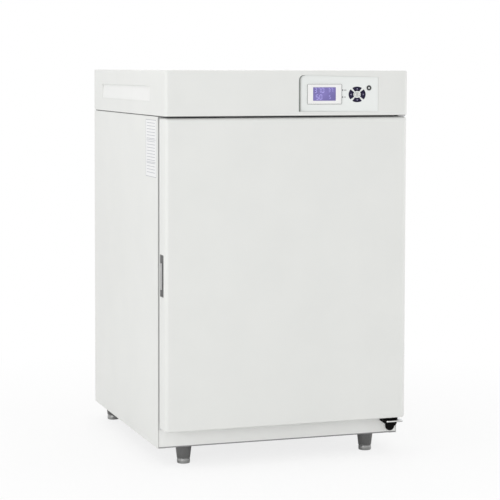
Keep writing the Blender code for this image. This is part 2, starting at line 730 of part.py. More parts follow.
def make_shelves():
    """Slotted shelves with turned-down rims, and the humidity tray on the chamber floor."""
    rear = SHELF_FRONT + SHELF_DEPTH
    middle = (SHELF_FRONT + rear) / 2
    for index in range(SHELF_COUNT):
        z = SHELF_FIRST + SHELF_PITCH * index + FIT
        mesh = box_mesh(
            (-SHELF_SIDE, SHELF_FRONT, z),
            (SHELF_SIDE, rear, z + SHELF_LIP),
            rounds=[(along(2), 0.006)],
            open_sides=[(2, 0)],
            segments=2,
        )
        origin = (0.0, SHELF_FRONT, z)
        shelf = thicken(place(f"shelf_{index + 1}", mesh, STAINLESS, origin), LINER_WALL)
        grid = slots(8, 2, (0, middle), (0.044, 0.140), (0.016, 0.116))
        punches = plate_mesh(grid, -z - 0.02, -z - 0.005, frame=FLAT)
        cut(shelf, tool(f"shelf_slots_{index + 1}", punches))

    half = TRAY_WIDTH / 2
    base = CHAMBER_BOTTOM + FIT
    mesh = box_mesh(
        (-half, SHELF_FRONT, base),
        (half, SHELF_FRONT + TRAY_DEPTH, base + TRAY_HEIGHT),
        rounds=[(along(2), 0.015), (around(2, 0), 0.005)],
        open_sides=[(2, 1)],
    )
    thicken(place("water_tray", mesh, STAINLESS, (0.0, SHELF_FRONT, base)), LINER_WALL)


def make_fan():
    """The circulation fan: a cover with slots, a bladed wheel on its shaft, and a motor behind the foam."""
    half, tall = FAN_COVER_WIDTH / 2, FAN_COVER_HEIGHT / 2
    mesh = box_mesh(
        (-half, FAN_COVER_FRONT, FAN_Z - tall),
        (half, CHAMBER_BACK - FIT, FAN_Z + tall),
        rounds=[(along(1), 0.010), (around(1, 0), 0.003)],
        open_sides=[(1, 1)],
        segments=2,
    )
    cover = thicken(place("fan_cover", mesh, STAINLESS), LINER_WALL)
    spokes = 12
    intake = []
    for index in range(spokes):
        start = 360.0 * index / spokes
        outer = arc((0, FAN_Z), FAN_RADIUS * 0.84, start + 5, start + 25, 2)
        inner = arc((0, FAN_Z), FAN_RADIUS * 0.36, start + 22, start + 8, 1)
        intake.append(outer + inner)
    grille = plate_mesh(intake, FAN_COVER_FRONT - 0.01, FAN_COVER_FRONT + 0.006)
    outlets = [
        loop for shift in (-0.098, 0.098)
        for loop in slots(2, 3, (shift, FAN_Z), (0.016, 0.036), (0.007, 0.026))
    ]
    vents = plate_mesh(outlets, FAN_COVER_FRONT - 0.01, FAN_COVER_FRONT + 0.006)
    cut(cover, tool("intake_slots", grille), tool("outlet_slots", vents))

    wheel_back = CHAMBER_BACK - 0.008
    blade_front = wheel_back - 0.0015 - FAN_BLADE_WIDTH
    axis = (0.0, 0.0, FAN_Z)
    shaft_end = FOAM_BACK + 0.020
    hub = [
        (0.0, shaft_end),
        (SHAFT_RADIUS, shaft_end),
        (SHAFT_RADIUS, wheel_back),
        (FAN_RADIUS, wheel_back),
        (FAN_RADIUS, wheel_back - 0.0015),
        (0.020, wheel_back - 0.0015),
        (0.011, wheel_back - 0.010),
        (0.009, blade_front + 0.004),
        (0.0, blade_front + 0.002),
    ]
    wheel = place("fan_impeller", turned_on(hub, axis, "Y"), STAINLESS, origin=(0.0, wheel_back, FAN_Z))
    blades = plate_mesh(
        [blade_outline(360.0 * index / FAN_BLADES) for index in range(FAN_BLADES)],
        blade_front,
        wheel_back - 0.0010,
    )
    blades.transform(Matrix.Translation((0.0, 0.0, FAN_Z)))
    ring = [
        (FAN_RADIUS, blade_front + 0.0008),
        (FAN_RADIUS, blade_front - 0.0010),
        (FAN_RADIUS * 0.66, blade_front - 0.0010),
        (FAN_RADIUS * 0.66, blade_front + 0.0008),
    ]
    shroud = turned_on(ring, axis, "Y", closed=True)
    join(wheel, tool("fan_blades", blades), tool("fan_shroud", shroud))

    can_front = FOAM_BACK + FIT
    can_back = can_front + MOTOR_LENGTH
    can = [
        (0.0, can_back + 0.004),
        (0.010, can_back + 0.004),
        (0.011, can_back),
        (MOTOR_RADIUS - 0.003, can_back),
        (MOTOR_RADIUS, can_back - 0.003),
        (MOTOR_RADIUS, can_front + 0.002),
        (MOTOR_RADIUS + 0.008, can_front + 0.002),
        (MOTOR_RADIUS + 0.008, can_front),
        (SHAFT_RADIUS + FIT, can_front),
        (SHAFT_RADIUS + FIT, shaft_end + FIT),
        (0.0, shaft_end + FIT),
    ]
    place("fan_motor", turned_on(can, axis, "Y"), GREY_PLASTIC)


def blade_outline(start):
    """One backward-curved blade, as a thin crescent between the eye and the rim of the wheel."""
    inner, outer = FAN_RADIUS * 0.46, FAN_RADIUS * 0.985
    sweep, thick, count = 34.0, 0.0013, 3
    lead, trail = [], []
    for index in range(count + 1):
        share = index / count
        radius = inner + (outer - inner) * share
        angle = math.radians(start - sweep * share ** 0.8)
        middle = Vector((radius * math.cos(angle), radius * math.sin(angle)))
        normal = Vector((-math.sin(angle), math.cos(angle))) * thick / 2
        lead.append(tuple(middle + normal))
        trail.append(tuple(middle - normal))
    return lead + trail[::-1]


def make_chamber_fittings():
    """The probe and the sensor through the rear wall, and the access port with its stopper."""
    tip = CHAMBER_BACK - 0.045
    seat = CHAMBER_BACK - FIT
    back = FOAM_BACK + FIT
    probe = [
        (0.0, back + 0.012),
        (0.007, back + 0.012),
        (0.007, back),
        (PROBE_RADIUS, back),
        (PROBE_RADIUS, seat),
        (0.007, seat),
        (0.007, seat - 0.005),
        (PROBE_RADIUS, seat - 0.006),
        (PROBE_RADIUS, tip + 0.003),
        (PROBE_RADIUS * 0.6, tip),
        (0.0, tip),
    ]
    place("temperature_probe", turned_on(probe, (PROBE_X, 0, SENSOR_HEIGHT), "Y", BORE_STEPS), STAINLESS)
    sensor = [
        (0.0, back + 0.024),
        (0.013, back + 0.024),
        (0.015, back + 0.020),
        (0.015, back),
        (SENSOR_RADIUS, back),
        (SENSOR_RADIUS, seat),
        (0.014, seat),
        (0.014, seat - 0.006),
        (0.0115, seat - 0.008),
        (0.0115, tip + 0.006),
        (0.0085, tip),
        (0.0, tip),
    ]
    place("co2_sensor", turned_on(sensor, (SENSOR_X, 0, SENSOR_HEIGHT), "Y", BORE_STEPS), WHITE_PLASTIC)

    outside = PORT_RADIUS + PORT_WALL
    lip = REAR_PANEL + FIT
    sleeve = [
        (PORT_RADIUS, lip + 0.002),
        (outside + 0.006, lip + 0.002),
        (outside + 0.006, lip),
        (outside, lip),
        (outside, CHAMBER_BACK - 0.003),
        (PORT_RADIUS, CHAMBER_BACK - 0.003),
    ]
    centre = (PORT_X, 0, PORT_HEIGHT)
    place("port_sleeve", turned_on(sleeve, centre, "Y", BORE_STEPS, closed=True), GREY_PLASTIC)
    seat = lip + 0.002 + FIT
    head = REAR - 0.0005
    stopper = [
        (0.0, head),
        (outside + 0.002, head),
        (outside + 0.004, head - 0.003),
        (outside + 0.004, seat),
        (PORT_RADIUS - FIT, seat),
        (PORT_RADIUS - 0.0012, seat - STOPPER_LENGTH),
        (0.0, seat - STOPPER_LENGTH),
    ]
    origin = (PORT_X, seat, PORT_HEIGHT)
    place("port_stopper", turned_on(stopper, centre, "Y", BORE_STEPS), SILICONE, origin)


def make_gas_line():
    """The gas inlet on the rear of the head, the tube down to the valve, and the valve on the foam."""
    height = TOP - 0.055
    cover = HEAD_REAR
    barb = [
        (0.0018, cover + 0.024),
        (0.0036, cover + 0.021),
        (0.0028, cover + 0.0205),
        (0.0040, cover + 0.016),
        (0.0030, cover + 0.0155),
        (0.0044, cover + 0.010),
        (0.0034, cover + 0.0095),
        (0.0090, cover + 0.0060),
        (0.0090, cover + FIT),
        (0.0050, cover + FIT),
        (0.0050, cover - 0.012),
        (0.0018, cover - 0.012),
    ]
    place("gas_inlet_barb", turned_on(barb, (GAS_X, 0, height), "Y", 12, closed=True), BRASS)

    drop = gas_drop()
    bend = 0.012
    start = cover - 0.012 - FIT
    valve_low, valve_high = VALVE_Z - VALVE_HEIGHT / 2, VALVE_Z + VALVE_HEIGHT / 2
    nipple_top = valve_high + NIPPLE_LENGTH
    path = [(GAS_X, start, height)]
    path += [
        (GAS_X, drop + bend - across, height - bend + up)
        for across, up in arc((0, 0), bend, 90, 0, 5)
    ]
    path.append((GAS_X, drop, nipple_top + FIT))
    place("gas_tube", tube_mesh(path, TUBE_RADIUS), SILICONE)

    back = FOAM_BACK + FIT
    half = VALVE_WIDTH / 2
    body = box_mesh((GAS_X - half, back, valve_low), (GAS_X + half, drop + 0.013, valve_high))
    valve = place("solenoid_valve", body, BRASS)
    axis = (GAS_X, drop, 0)
    coil = rod(0.0125, valve_low - COIL_LENGTH, valve_low + 0.0005, axis, steps=20)
    nipple = rod(0.0045, valve_high - 0.0005, nipple_top, axis, steps=16)
    join(valve, tool("valve_coil", coil), tool("valve_nipple", nipple))


def make_head_shell():
    """The one-piece cover of the control head, with the panel recess and the two finger scoops."""
    mesh = box_mesh(
        (-SIDE, FRONT, HEAD_BOTTOM),
        (SIDE, REAR, TOP),
        rounds=[
            (lambda a, b, low, high: along(2)(a, b, low, high) and a.y < 0, DOOR_EDGE),
            (lambda a, b, low, high: around(2, 1)(a, b, low, high) and min(a.y, b.y) < REAR - 1e-4,
             HEAD_EDGE),
        ],
        open_sides=[(2, 0), (1, 1)],
    )
    shell = thicken(place("head_shell", mesh, PAINT), SHELL_WALL)
    pocket = box_mesh(
        (PANEL_LEFT - 0.004, FRONT + SHELL_WALL / 2, PANEL_BOTTOM - 0.004),
        (PANEL_RIGHT + 0.004, POCKET_BACK, PANEL_BOTTOM + PANEL_HEIGHT + 0.003),
    )
    join(shell, tool("pocket_backing", pocket))
    for side, name in ((-1, "left"), (1, "right")):
        out, deep = side * (SIDE - SHELL_WALL / 2), side * (SIDE - SCOOP_DEPTH - SHELL_WALL)
        backing = box_mesh(
            (min(out, deep), BODY_FRONT + SCOOP_FRONT - 0.003, SCOOP_BOTTOM - 0.003),
            (max(out, deep), SCOOP_REAR + 0.003, SCOOP_BOTTOM + SCOOP_HEIGHT + 0.003),
        )
        join(shell, tool(f"scoop_backing_{name}", backing))
        cut(shell, tool(f"scoop_cutter_{name}", scoop_mesh(side)))

    frame = panel_frame()
    recess = plate_mesh([panel_outline(0.0, 0.0)], -0.030, 0.0)
    cut(shell, tool("panel_recess", recess, frame))
    window = rounded(*display_edges(0.003 + FIT), 0.001, 2)
    well = [
        (KEYS_X + (KEYS_HALF_WIDTH + 0.002) * math.cos(t), KEYS_Z + (KEYS_HALF_HEIGHT + 0.002) * math.sin(t))
        for t in [2 * math.pi * i / 24 for i in range(24)]
    ]
    power = arc((POWER_X, POWER_Z), POWER_RADIUS + 0.001, 0, 345, 23)
    cut(
        shell,
        tool("display_window", plate_mesh([window], -0.010, 0.030), frame),
        tool("key_well", plate_mesh([well, power], -0.010, KEY_WELL), frame),
        tool("light_holes", plate_mesh(light_outlines(FIT), -0.010, 0.030), frame),
    )

    cover = box_mesh(
        (-(SIDE - SHELL_WALL - FIT), HEAD_REAR - REAR_FLANGE, FLOOR_TOP + FIT),
        (SIDE - SHELL_WALL - FIT, HEAD_REAR, TOP - SHELL_WALL - FIT),
        rounds=[(along(1), 0.003)],
        open_sides=[(1, 0)],
        segments=2,
    )
    cover = thicken(place("head_rear_cover", cover, PAINT), SHEET)
    inlet = box_mesh(
        (INLET_X - INLET_WIDTH / 2 - FIT, HEAD_REAR - 0.006, INLET_HEIGHT - INLET_TALL / 2 - FIT),
        (INLET_X + INLET_WIDTH / 2 + FIT, HEAD_REAR + 0.006, INLET_HEIGHT + INLET_TALL / 2 + FIT),
    )
    barb = rod(0.0050 + FIT, -0.006, 0.006, (GAS_X, HEAD_REAR, TOP - 0.055), "Y", steps=16)
    vents = plate_mesh(
        slots(10, 1, (0.010, 0.850), (0.016, 0.0), (0.006, 0.040)), HEAD_REAR - 0.006, HEAD_REAR + 0.006
    )
    cut(cover, tool("inlet_hole", inlet), tool("barb_hole", barb), tool("head_vents", vents))


def scoop_mesh(side):
    """A wedge that is deepest at its upper edge and runs out to the surface at its lower edge."""
    outline = [
        (side * (SIDE + 0.01), SCOOP_BOTTOM),
        (side * (SIDE - SCOOP_EDGE), SCOOP_BOTTOM),
        (side * (SIDE - SCOOP_DEPTH), SCOOP_BOTTOM + SCOOP_HEIGHT),
        (side * (SIDE + 0.01), SCOOP_BOTTOM + SCOOP_HEIGHT),
    ]
    return plate_mesh([outline], BODY_FRONT + SCOOP_FRONT, SCOOP_REAR)


def panel_frame():
    """The tilted frame of the control panel: its plane is the floor of the wedge-shaped recess."""
    frame = bpy.data.objects.get("panel_frame")
    if frame is None:
        frame = bpy.data.objects.new("panel_frame", None)
        CUTTERS.objects.link(frame)
        frame.location = (PANEL_LEFT, FRONT + PANEL_DEPTH_LEFT, PANEL_BOTTOM)
        frame.rotation_euler = (0.0, 0.0, -PANEL_TILT)
    return frame


def panel_outline(left_gap, gap):
    """The recess seen from the front: round at its upper left, and its upper edge falls to the right."""
    left, bottom = left_gap, gap
    right, top = PANEL_RUN - gap, PANEL_HEIGHT - gap
    corner = PANEL_CORNER - left_gap / 2
    points = [(left, bottom), (right, bottom), (right, top - PANEL_FALL)]
    return points + arc((left + corner, top - corner), corner, 90, 180, 5)


def display_edges(margin):
    half_width, half_height = DISPLAY_WIDTH / 2 + margin, DISPLAY_HEIGHT / 2 + margin
    return (
        DISPLAY_X - half_width,
        BEZEL_Z - half_height,
        DISPLAY_X + half_width,
        BEZEL_Z + half_height,
    )


def light_outlines(gap):
    return [
        arc((LIGHT_X, LIGHT_Z + end * LIGHT_PITCH / 2), LIGHT_RADIUS + gap, 0, 330, 11)
        for end in (-1, 1)
    ]


def key_outline(middle, spread, gap=0.0):
    """An arc key between two ellipses, spread about a middle angle. gap makes the hole round it."""
    outer = [middle - spread + 2 * spread * i / 6 for i in range(7)]
    grow = 1 + gap / KEYS_HALF_HEIGHT
    shrink = KEYS_INNER - gap / KEYS_HALF_HEIGHT
    widen = 1 + gap / (KEYS_HALF_HEIGHT * spread * 0.7)

    def at(angle, share):
        angle = middle + (angle - middle) * widen
        return (
            KEYS_X + KEYS_HALF_WIDTH * share * math.cos(angle),
            KEYS_Z + KEYS_HALF_HEIGHT * share * math.sin(angle),
        )

    return [at(a, grow) for a in outer] + [at(a, shrink) for a in outer[::-2]]


def centre_key_outline(gap=0.0):
    return [
        (
            KEYS_X + (CENTRE_KEY_WIDTH / 2 + gap) * math.cos(t),
            KEYS_Z + (CENTRE_KEY_HEIGHT / 2 + gap) * math.sin(t),
        )
        for t in [2 * math.pi * i / 16 for i in range(16)]
    ]


ARC_KEYS = (
    ("right", 0.0, SIDE_KEY_SPREAD),
    ("up", math.pi / 2, UPRIGHT_KEY_SPREAD),
    ("left", math.pi, SIDE_KEY_SPREAD),
    ("down", 1.5 * math.pi, UPRIGHT_KEY_SPREAD),
)


def make_control_panel():
    """The overlay on the recess floor, and the display, keys and lights that come through it."""
    frame = panel_frame()
    holes = [rounded(*display_edges(0.003 + FIT), 0.001, 2)]
    holes += [key_outline(middle, spread, FIT) for _, middle, spread in ARC_KEYS]
    holes += [centre_key_outline(FIT), arc((POWER_X, POWER_Z), POWER_RADIUS + FIT, 0, 340, 17)]
    holes += light_outlines(FIT)
    overlay = plate_mesh([panel_outline(PANEL_SEAL, FIT)] + holes, OVERLAY_FRONT, -FIT)
    place("control_panel", overlay, OVERLAY_FILM, parent=frame)

    bezel_back = OVERLAY_FRONT - FIT
    left, bottom = BEZEL_X - BEZEL_WIDTH / 2, BEZEL_Z - BEZEL_HEIGHT / 2
    outer = rounded(left, bottom, left + BEZEL_WIDTH, bottom + BEZEL_HEIGHT, 0.002, 2)
    window = rounded(*display_edges(0.0), 0.001, 1)
    bezel = plate_mesh([outer, window], bezel_back - BEZEL_THICKNESS, bezel_back, edge=0.0003)
    place("display_bezel", bezel, WHITE_PLASTIC, parent=frame)

    board_front = 0.0110
    display = plate_mesh([rounded(*display_edges(0.003), 0.001, 2)], -0.0010, board_front - FIT)
    place("display_lcd", display, DISPLAY_BLUE, parent=frame)

    key_front = OVERLAY_FRONT - 0.0006
    for name, middle, spread in ARC_KEYS:
        outline = key_outline(middle, spread)
        mesh = plate_mesh([outline], key_front, key_front + KEY_THICKNESS, edge=0.0003)
        place(f"key_{name}", mesh, KEY_NAVY, key_origin(middle, key_front), frame)
    mesh = plate_mesh([centre_key_outline()], key_front, key_front + KEY_THICKNESS, edge=0.0003)
    place("key_centre", mesh, WHITE_PLASTIC, (KEYS_X, key_front, KEYS_Z), frame)
    power = [
        (0.0, -key_front - 0.0003),
        (POWER_RADIUS * 0.5, -key_front - 0.0003),
        (POWER_RADIUS * 0.65, -key_front + 0.0004),
        (POWER_RADIUS * 0.88, -key_front + 0.0004),
        (POWER_RADIUS, -key_front),
        (POWER_RADIUS, -key_front - KEY_THICKNESS),
        (0.0, -key_front - KEY_THICKNESS),
    ]
    mesh = turned_on(power, (POWER_X, 0, POWER_Z), "-Y", 18)
    place("key_power", mesh, KEY_NAVY, (POWER_X, key_front, POWER_Z), frame)

    pipe_back = board_front - FIT
    bar = plate_mesh(
        [rounded(LIGHT_X - 0.003, LIGHT_Z - 0.012, LIGHT_X + 0.003, LIGHT_Z + 0.012, 0.002, 2)],
        pipe_back - 0.0020,
        pipe_back,
    )
    pipe = place("light_pipe", bar, CLEAR_LENS, parent=frame)
    join(pipe, tool("light_tips", plate_mesh(light_outlines(0.0), -0.0020, pipe_back - 0.001), frame))

    edges = (0.004, 0.006, PANEL_RUN - 0.004, PANEL_HEIGHT - 0.0075)
    board = plate_mesh([rounded(*edges, 0.003, 2)], board_front, board_front + 0.0016)
    place("control_board", board, BOARD_GREEN, parent=frame)


def key_origin(middle, depth):
    share = (1 + KEYS_INNER) / 2
    return (
        KEYS_X + KEYS_HALF_WIDTH * share * math.cos(middle),
        depth,
        KEYS_Z + KEYS_HALF_HEIGHT * share * math.sin(middle),
    )


def make_head_inside():
    """The power supply on the head's floor, and the mains inlet with its rocker switch."""
    top = FLOOR_TOP + SUPPLY_HEIGHT
    supply = box_mesh(
        (SUPPLY_X - SUPPLY_WIDTH / 2, SUPPLY_Y - SUPPLY_DEPTH / 2, FLOOR_TOP + FIT),
        (SUPPLY_X + SUPPLY_WIDTH / 2, SUPPLY_Y + SUPPLY_DEPTH / 2, top),
        rounds=[(along(2), 0.003)],
        segments=1,
    )
    supply = place("power_supply", supply, ZINC)
    pitch = (SUPPLY_WIDTH * 0.16, SUPPLY_DEPTH / 3)
    grid = slots(5, 2, (SUPPLY_X, SUPPLY_Y), pitch, (SUPPLY_WIDTH * 0.07, SUPPLY_DEPTH / 4))
    punches = plate_mesh(grid, -top - 0.005, -top + 0.003, frame=FLAT)
    cut(supply, tool("supply_vents", punches))

    left, right = INLET_X - INLET_WIDTH / 2, INLET_X + INLET_WIDTH / 2
    low, high = INLET_HEIGHT - INLET_TALL / 2, INLET_HEIGHT + INLET_TALL / 2
    body = box_mesh((left, HEAD_REAR - 0.026, low), (right, HEAD_REAR + 0.001, high))
    inlet = place("mains_inlet", body, BLACK_PLASTIC)
    rim = plate_mesh(
        [rounded(left - 0.004, low - 0.004, right + 0.004, high + 0.004, 0.003, 2)],
        HEAD_REAR + FIT,
        HEAD_REAR + FIT + 0.003,
    )
    join(inlet, tool("inlet_rim", rim))
    face = HEAD_REAR + FIT + 0.003
    socket_x, socket_half = left + 0.021, (0.0125, 0.0085)
    socket = [
        (socket_x - socket_half[0], INLET_HEIGHT - socket_half[1]),
        (socket_x + socket_half[0], INLET_HEIGHT - socket_half[1]),
        (socket_x + socket_half[0], INLET_HEIGHT + socket_half[1] - 0.005),
        (socket_x + socket_half[0] - 0.005, INLET_HEIGHT + socket_half[1]),
        (socket_x - socket_half[0] + 0.005, INLET_HEIGHT + socket_half[1]),
        (socket_x - socket_half[0], INLET_HEIGHT + socket_half[1] - 0.005),
    ]
    throat = plate_mesh([socket], face - 0.018, face + 0.01)
    switch_x = rocker_axis()[0]
    window = box_mesh(
        (switch_x - 0.0082, face - 0.018, INLET_HEIGHT - 0.0142),
        (switch_x + 0.0082, face + 0.010, INLET_HEIGHT + 0.0142),
    )
    cut(inlet, tool("socket_throat", throat), tool("switch_window", window))
    blades = plate_mesh(
        [
            slot
            for x, z in ((-0.007, -0.002), (0.0, 0.003), (0.007, -0.002))
            for slot in slots(1, 1, (socket_x + x, INLET_HEIGHT + z), (1, 1), (0.002, 0.004))
        ],
        face - 0.020,
        face - 0.006,
    )
    join(inlet, tool("inlet_blades", blades))

    x, y, z = rocker_axis()
    outline = [(-0.0125, 0.0060), (0.0, 0.0042), (0.0125, 0.0060)]
    outline += arc((0, 0), 0.0118, -20, -160, 6)
    mesh = plate_mesh([outline], -0.0079, 0.0079, frame=TUMBLED)
    mesh.transform(Matrix.Rotation(math.radians(7), 4, "X"))
    mesh.transform(Matrix.Translation((x, y, z)))
    place("rocker_switch", mesh, BLACK_PLASTIC, origin=(x, y, z))


def rocker_axis():
    return (INLET_X + INLET_WIDTH / 2 - 0.013, HEAD_REAR - 0.002, INLET_HEIGHT)


def make_hinges():
    """The two brackets that carry the outer door on upright pins."""
    left, right = HINGE_X - 0.034, HINGE_X + 0.017
    top_plate = rounded(left, HINGE_Y - 0.012, right, BODY_FRONT + 0.012, 0.004, 2)
    plate = plate_mesh([top_plate], -FLOOR_TOP - FIT - 0.004, -FLOOR_TOP - FIT, frame=FLAT)
    upper = place("upper_hinge_bracket", plate, BLACK_METAL)
    pin = rod(PIN_RADIUS, DOOR_TOP - 0.020, FLOOR_TOP + 0.003, (HINGE_X, HINGE_Y, 0), steps=20)
    join(upper, tool("upper_pin", pin))

    arm_top, arm = hinge_arm_top(), 0.0036
    left, right = HINGE_X - 0.020, HINGE_X + 0.0205
    tab_x, tab_z, tab_radius = HINGE_X + 0.0056, arm_top - 0.0221, 0.0113
    tab = arc((tab_x, tab_z), tab_radius, 180, 360, 10)
    root = tab_z + 0.0045
    outline = [(left, arm_top), (left, root + 0.010), (tab_x - tab_radius, root)]
    outline += tab
    outline += [(tab_x + tab_radius, root), (right, root + 0.004), (right, arm_top)]
    back = BODY_FRONT - FIT
    mesh = plate_mesh([outline], back - 0.003, back)
    lower = place("lower_hinge_bracket", mesh, BLACK_METAL)
    reach = [(left, back - 0.001), (left - 0.002, FRONT + 0.006), (left, FRONT + 0.004)]
    reach += arc((HINGE_X + 0.0125, FRONT + 0.011), 0.007, -90, 0, 4)
    reach += [(HINGE_X + 0.0195, back - 0.001)]
    shelf = plate_mesh([reach], -arm_top, -arm_top + arm, frame=FLAT)
    pin = rod(PIN_RADIUS, arm_top - arm / 2, DOOR_BOTTOM + 0.018, (HINGE_X, HINGE_Y, 0), steps=20)
    join(lower, tool("hinge_arm", shelf), tool("lower_pin", pin))


def hinge_arm_top():
    """The top face of the lower bracket's arm, which the bush under the door turns on."""
    return STRIP_TOP - 0.0034


def door_box(margin, front, back):
    """A slab inside the door's outline, as far in as margin, with the door's round corners."""
    low = (-DOOR_SIDE + margin, front, DOOR_BOTTOM + margin)
    high = (DOOR_SIDE - margin, back, DOOR_TOP - margin)
    return low, high


def make_door():
    """The outer door: painted skin, foam core, liner with its recess, gasket, grip cup and bushes."""
    pivot = (HINGE_X, HINGE_Y, 0.0)
    low, high = door_box(0.0, FRONT, DOOR_BACK)
    mesh = box_mesh(
        low, high, rounds=[(along(1), DOOR_CORNER), (around(1, 0), DOOR_EDGE)], open_sides=[(1, 1)]
    )
    skin = thicken(place("door_skin", mesh, PAINT, pivot), SHEET)

    inset = SHEET + FIT
    low, high = door_box(inset, FRONT + inset, DOOR_LINER_FRONT - FIT)
    mesh = box_mesh(
        low, high, rounds=[(along(1), DOOR_CORNER - inset), (around(1, 0), DOOR_EDGE - inset)]
    )
    core = place("door_core", mesh, FOAM, pivot)

    low, high = door_box(inset, DOOR_LINER_FRONT, DOOR_BACK)
    mesh = box_mesh(low, high, rounds=[(along(1), DOOR_CORNER - inset)])
    liner = place("door_liner", mesh, WHITE_PLASTIC, pivot)
    rim = SEAL_WIDTH + 0.003
    across, low, high = SEAL_SIDE - rim, SEAL_BOTTOM + rim, SEAL_TOP - rim
    recess = rounded(-across, low, across, high, 0.014)
    cut(liner, tool("liner_recess", plate_mesh([recess], DOOR_RECESS, DOOR_BACK + 0.01)))

    grip_front = FRONT + GRIP_FRONT
    grip_back = grip_front + GRIP_WIDTH
    cup_low = (-DOOR_SIDE, grip_front + FIT, GRIP_BOTTOM + FIT)
    cup_high = (-DOOR_SIDE + GRIP_DEPTH, grip_back - FIT, GRIP_TOP - FIT)
    mesh = box_mesh(
        cup_low,
        cup_high,
        rounds=[(along(0), 0.003), (around(0, 1), 0.003)],
        open_sides=[(0, 0)],
        segments=2,
    )
    thicken(place("handle_cup", mesh, GREY_PLASTIC, pivot), GRIP_WALL)
    room = box_mesh(
        (-DOOR_SIDE - 0.01, grip_front, GRIP_BOTTOM),
        (-DOOR_SIDE + GRIP_DEPTH + FIT, grip_back, GRIP_TOP),
        rounds=[(along(0), 0.003)],
        segments=2,
    )
    grip_room = tool("grip_room", room)
    cut(skin, grip_room)
    cut(core, grip_room)
    cut(liner, grip_room)

    flange = 0.0095
    arm_top = hinge_arm_top()
    bore = PIN_RADIUS + FIT
    seat = DOOR_BOTTOM - FIT
    low_bush = [
        (bore, DOOR_BOTTOM + 0.022),
        (BUSH_RADIUS, DOOR_BOTTOM + 0.022),
        (BUSH_RADIUS, seat),
        (flange, seat),
        (flange, arm_top + FIT),
        (bore, arm_top + FIT),
    ]
    high_bush = [
        (bore, DOOR_TOP + 0.0004),
        (BUSH_RADIUS, DOOR_TOP + 0.0004),
        (BUSH_RADIUS, DOOR_TOP - 0.024),
        (bore, DOOR_TOP - 0.024),
    ]
    for name, profile, cut_low, cut_high in (
        ("door_bush_lower", low_bush, DOOR_BOTTOM - 0.01, DOOR_BOTTOM + 0.022 + FIT),
        ("door_bush_upper", high_bush, DOOR_TOP - 0.024 - FIT, DOOR_TOP + 0.01),
    ):
        place(name, turned_on(profile, pivot, steps=20, closed=True), WHITE_PLASTIC, pivot)
        room = tool(f"{name}_room", rod(BUSH_RADIUS + FIT, cut_low, cut_high, pivot, steps=20))
        cut(skin, room)
        cut(core, room)

    outer = rounded(-SEAL_SIDE, SEAL_BOTTOM, SEAL_SIDE, SEAL_TOP, 0.010)
    inside = SEAL_SIDE - SEAL_WIDTH
    inner = rounded(-inside, SEAL_BOTTOM + SEAL_WIDTH, inside, SEAL_TOP - SEAL_WIDTH, 0.004)
    seal = plate_mesh([outer, inner], DOOR_BACK + FIT, BODY_FRONT - FIT, edge=0.0025)
    place("door_gasket", seal, SEAL_GREY, pivot)


def make_glass_door():
    """The inner glass door on two pinned clips, with a turning latch lever at its free edge."""
    pivot = (GLASS_HINGE_X, GLASS_HINGE_Y, 0.0)
    outline = rounded(-GLASS_HALF_WIDTH, GLASS_BOTTOM, GLASS_HALF_WIDTH, GLASS_TOP, 0.008)
    pane = plate_mesh([outline], GLASS_FRONT, GLASS_BACK, edge=0.0006)
    place("glass_pane", pane, GLASS, pivot)

    leaf_back = GLASS_FRONT - FIT
    leaf_front = leaf_back - 0.003
    for name, low, end, pin_end in (
        ("glass_hinge_upper", GLASS_TOP - GLASS_HINGE_LENGTH, REBATE_TOP - FIT, REBATE_TOP + 0.008),
        ("glass_hinge_lower", GLASS_BOTTOM + GLASS_HINGE_LENGTH, REBATE_BOTTOM + FIT,
         REBATE_BOTTOM - 0.008),
    ):
        bottom, top = min(low, end), max(low, end)
        leaf = box_mesh(
            (GLASS_HALF_WIDTH - 0.030, leaf_front, bottom),
            (GLASS_HINGE_X, leaf_back, top),
            rounds=[(around(1, 0), 0.001)],
            segments=1,
        )
        clip = place(name, leaf, STAINLESS, pivot)
        barrel = rod(GLASS_BARREL_RADIUS, bottom, top, pivot, steps=20)
        neck = box_mesh(
            (GLASS_HALF_WIDTH + 0.0030, leaf_front + 0.001, bottom), (GLASS_HINGE_X, GLASS_HINGE_Y, top)
        )
        pin_low, pin_high = min(end, pin_end), max(end, pin_end)
        inward = 0.002 if pin_end > end else -0.002
        pin = rod(
            GLASS_PIN_RADIUS,
            pin_low - max(inward, 0),
            pin_high - min(inward, 0),
            pivot,
            steps=12,
        )
        join(clip, tool(f"{name}_neck", neck), tool(f"{name}_barrel", barrel), tool(f"{name}_pin", pin))

    latch = [
        (0.0, -leaf_back + 0.0080),
        (0.0070, -leaf_back + 0.0080),
        (0.0085, -leaf_back + 0.0070),
        (0.0085, -leaf_back),
        (0.0, -leaf_back),
    ]
    hub = turned_on(latch, (LATCH_X, 0, LATCH_HEIGHT), "-Y", 24)
    lever = place("latch_lever", hub, BLACK_PLASTIC, (LATCH_X, leaf_back, LATCH_HEIGHT))
    nose = LATCH_X - 0.034
    bar = [(LATCH_X, LATCH_HEIGHT - 0.0070), (LATCH_X, LATCH_HEIGHT + 0.0070)]
    bar += [(nose + 0.004, LATCH_HEIGHT + 0.0045)]
    bar += arc((nose + 0.004, LATCH_HEIGHT), 0.0045, 100, 260, 6)
    bar += [(nose + 0.004, LATCH_HEIGHT - 0.0045)]
    join(lever, tool("latch_arm", plate_mesh([bar], leaf_back - 0.0072, BODY_FRONT - 0.0014)))


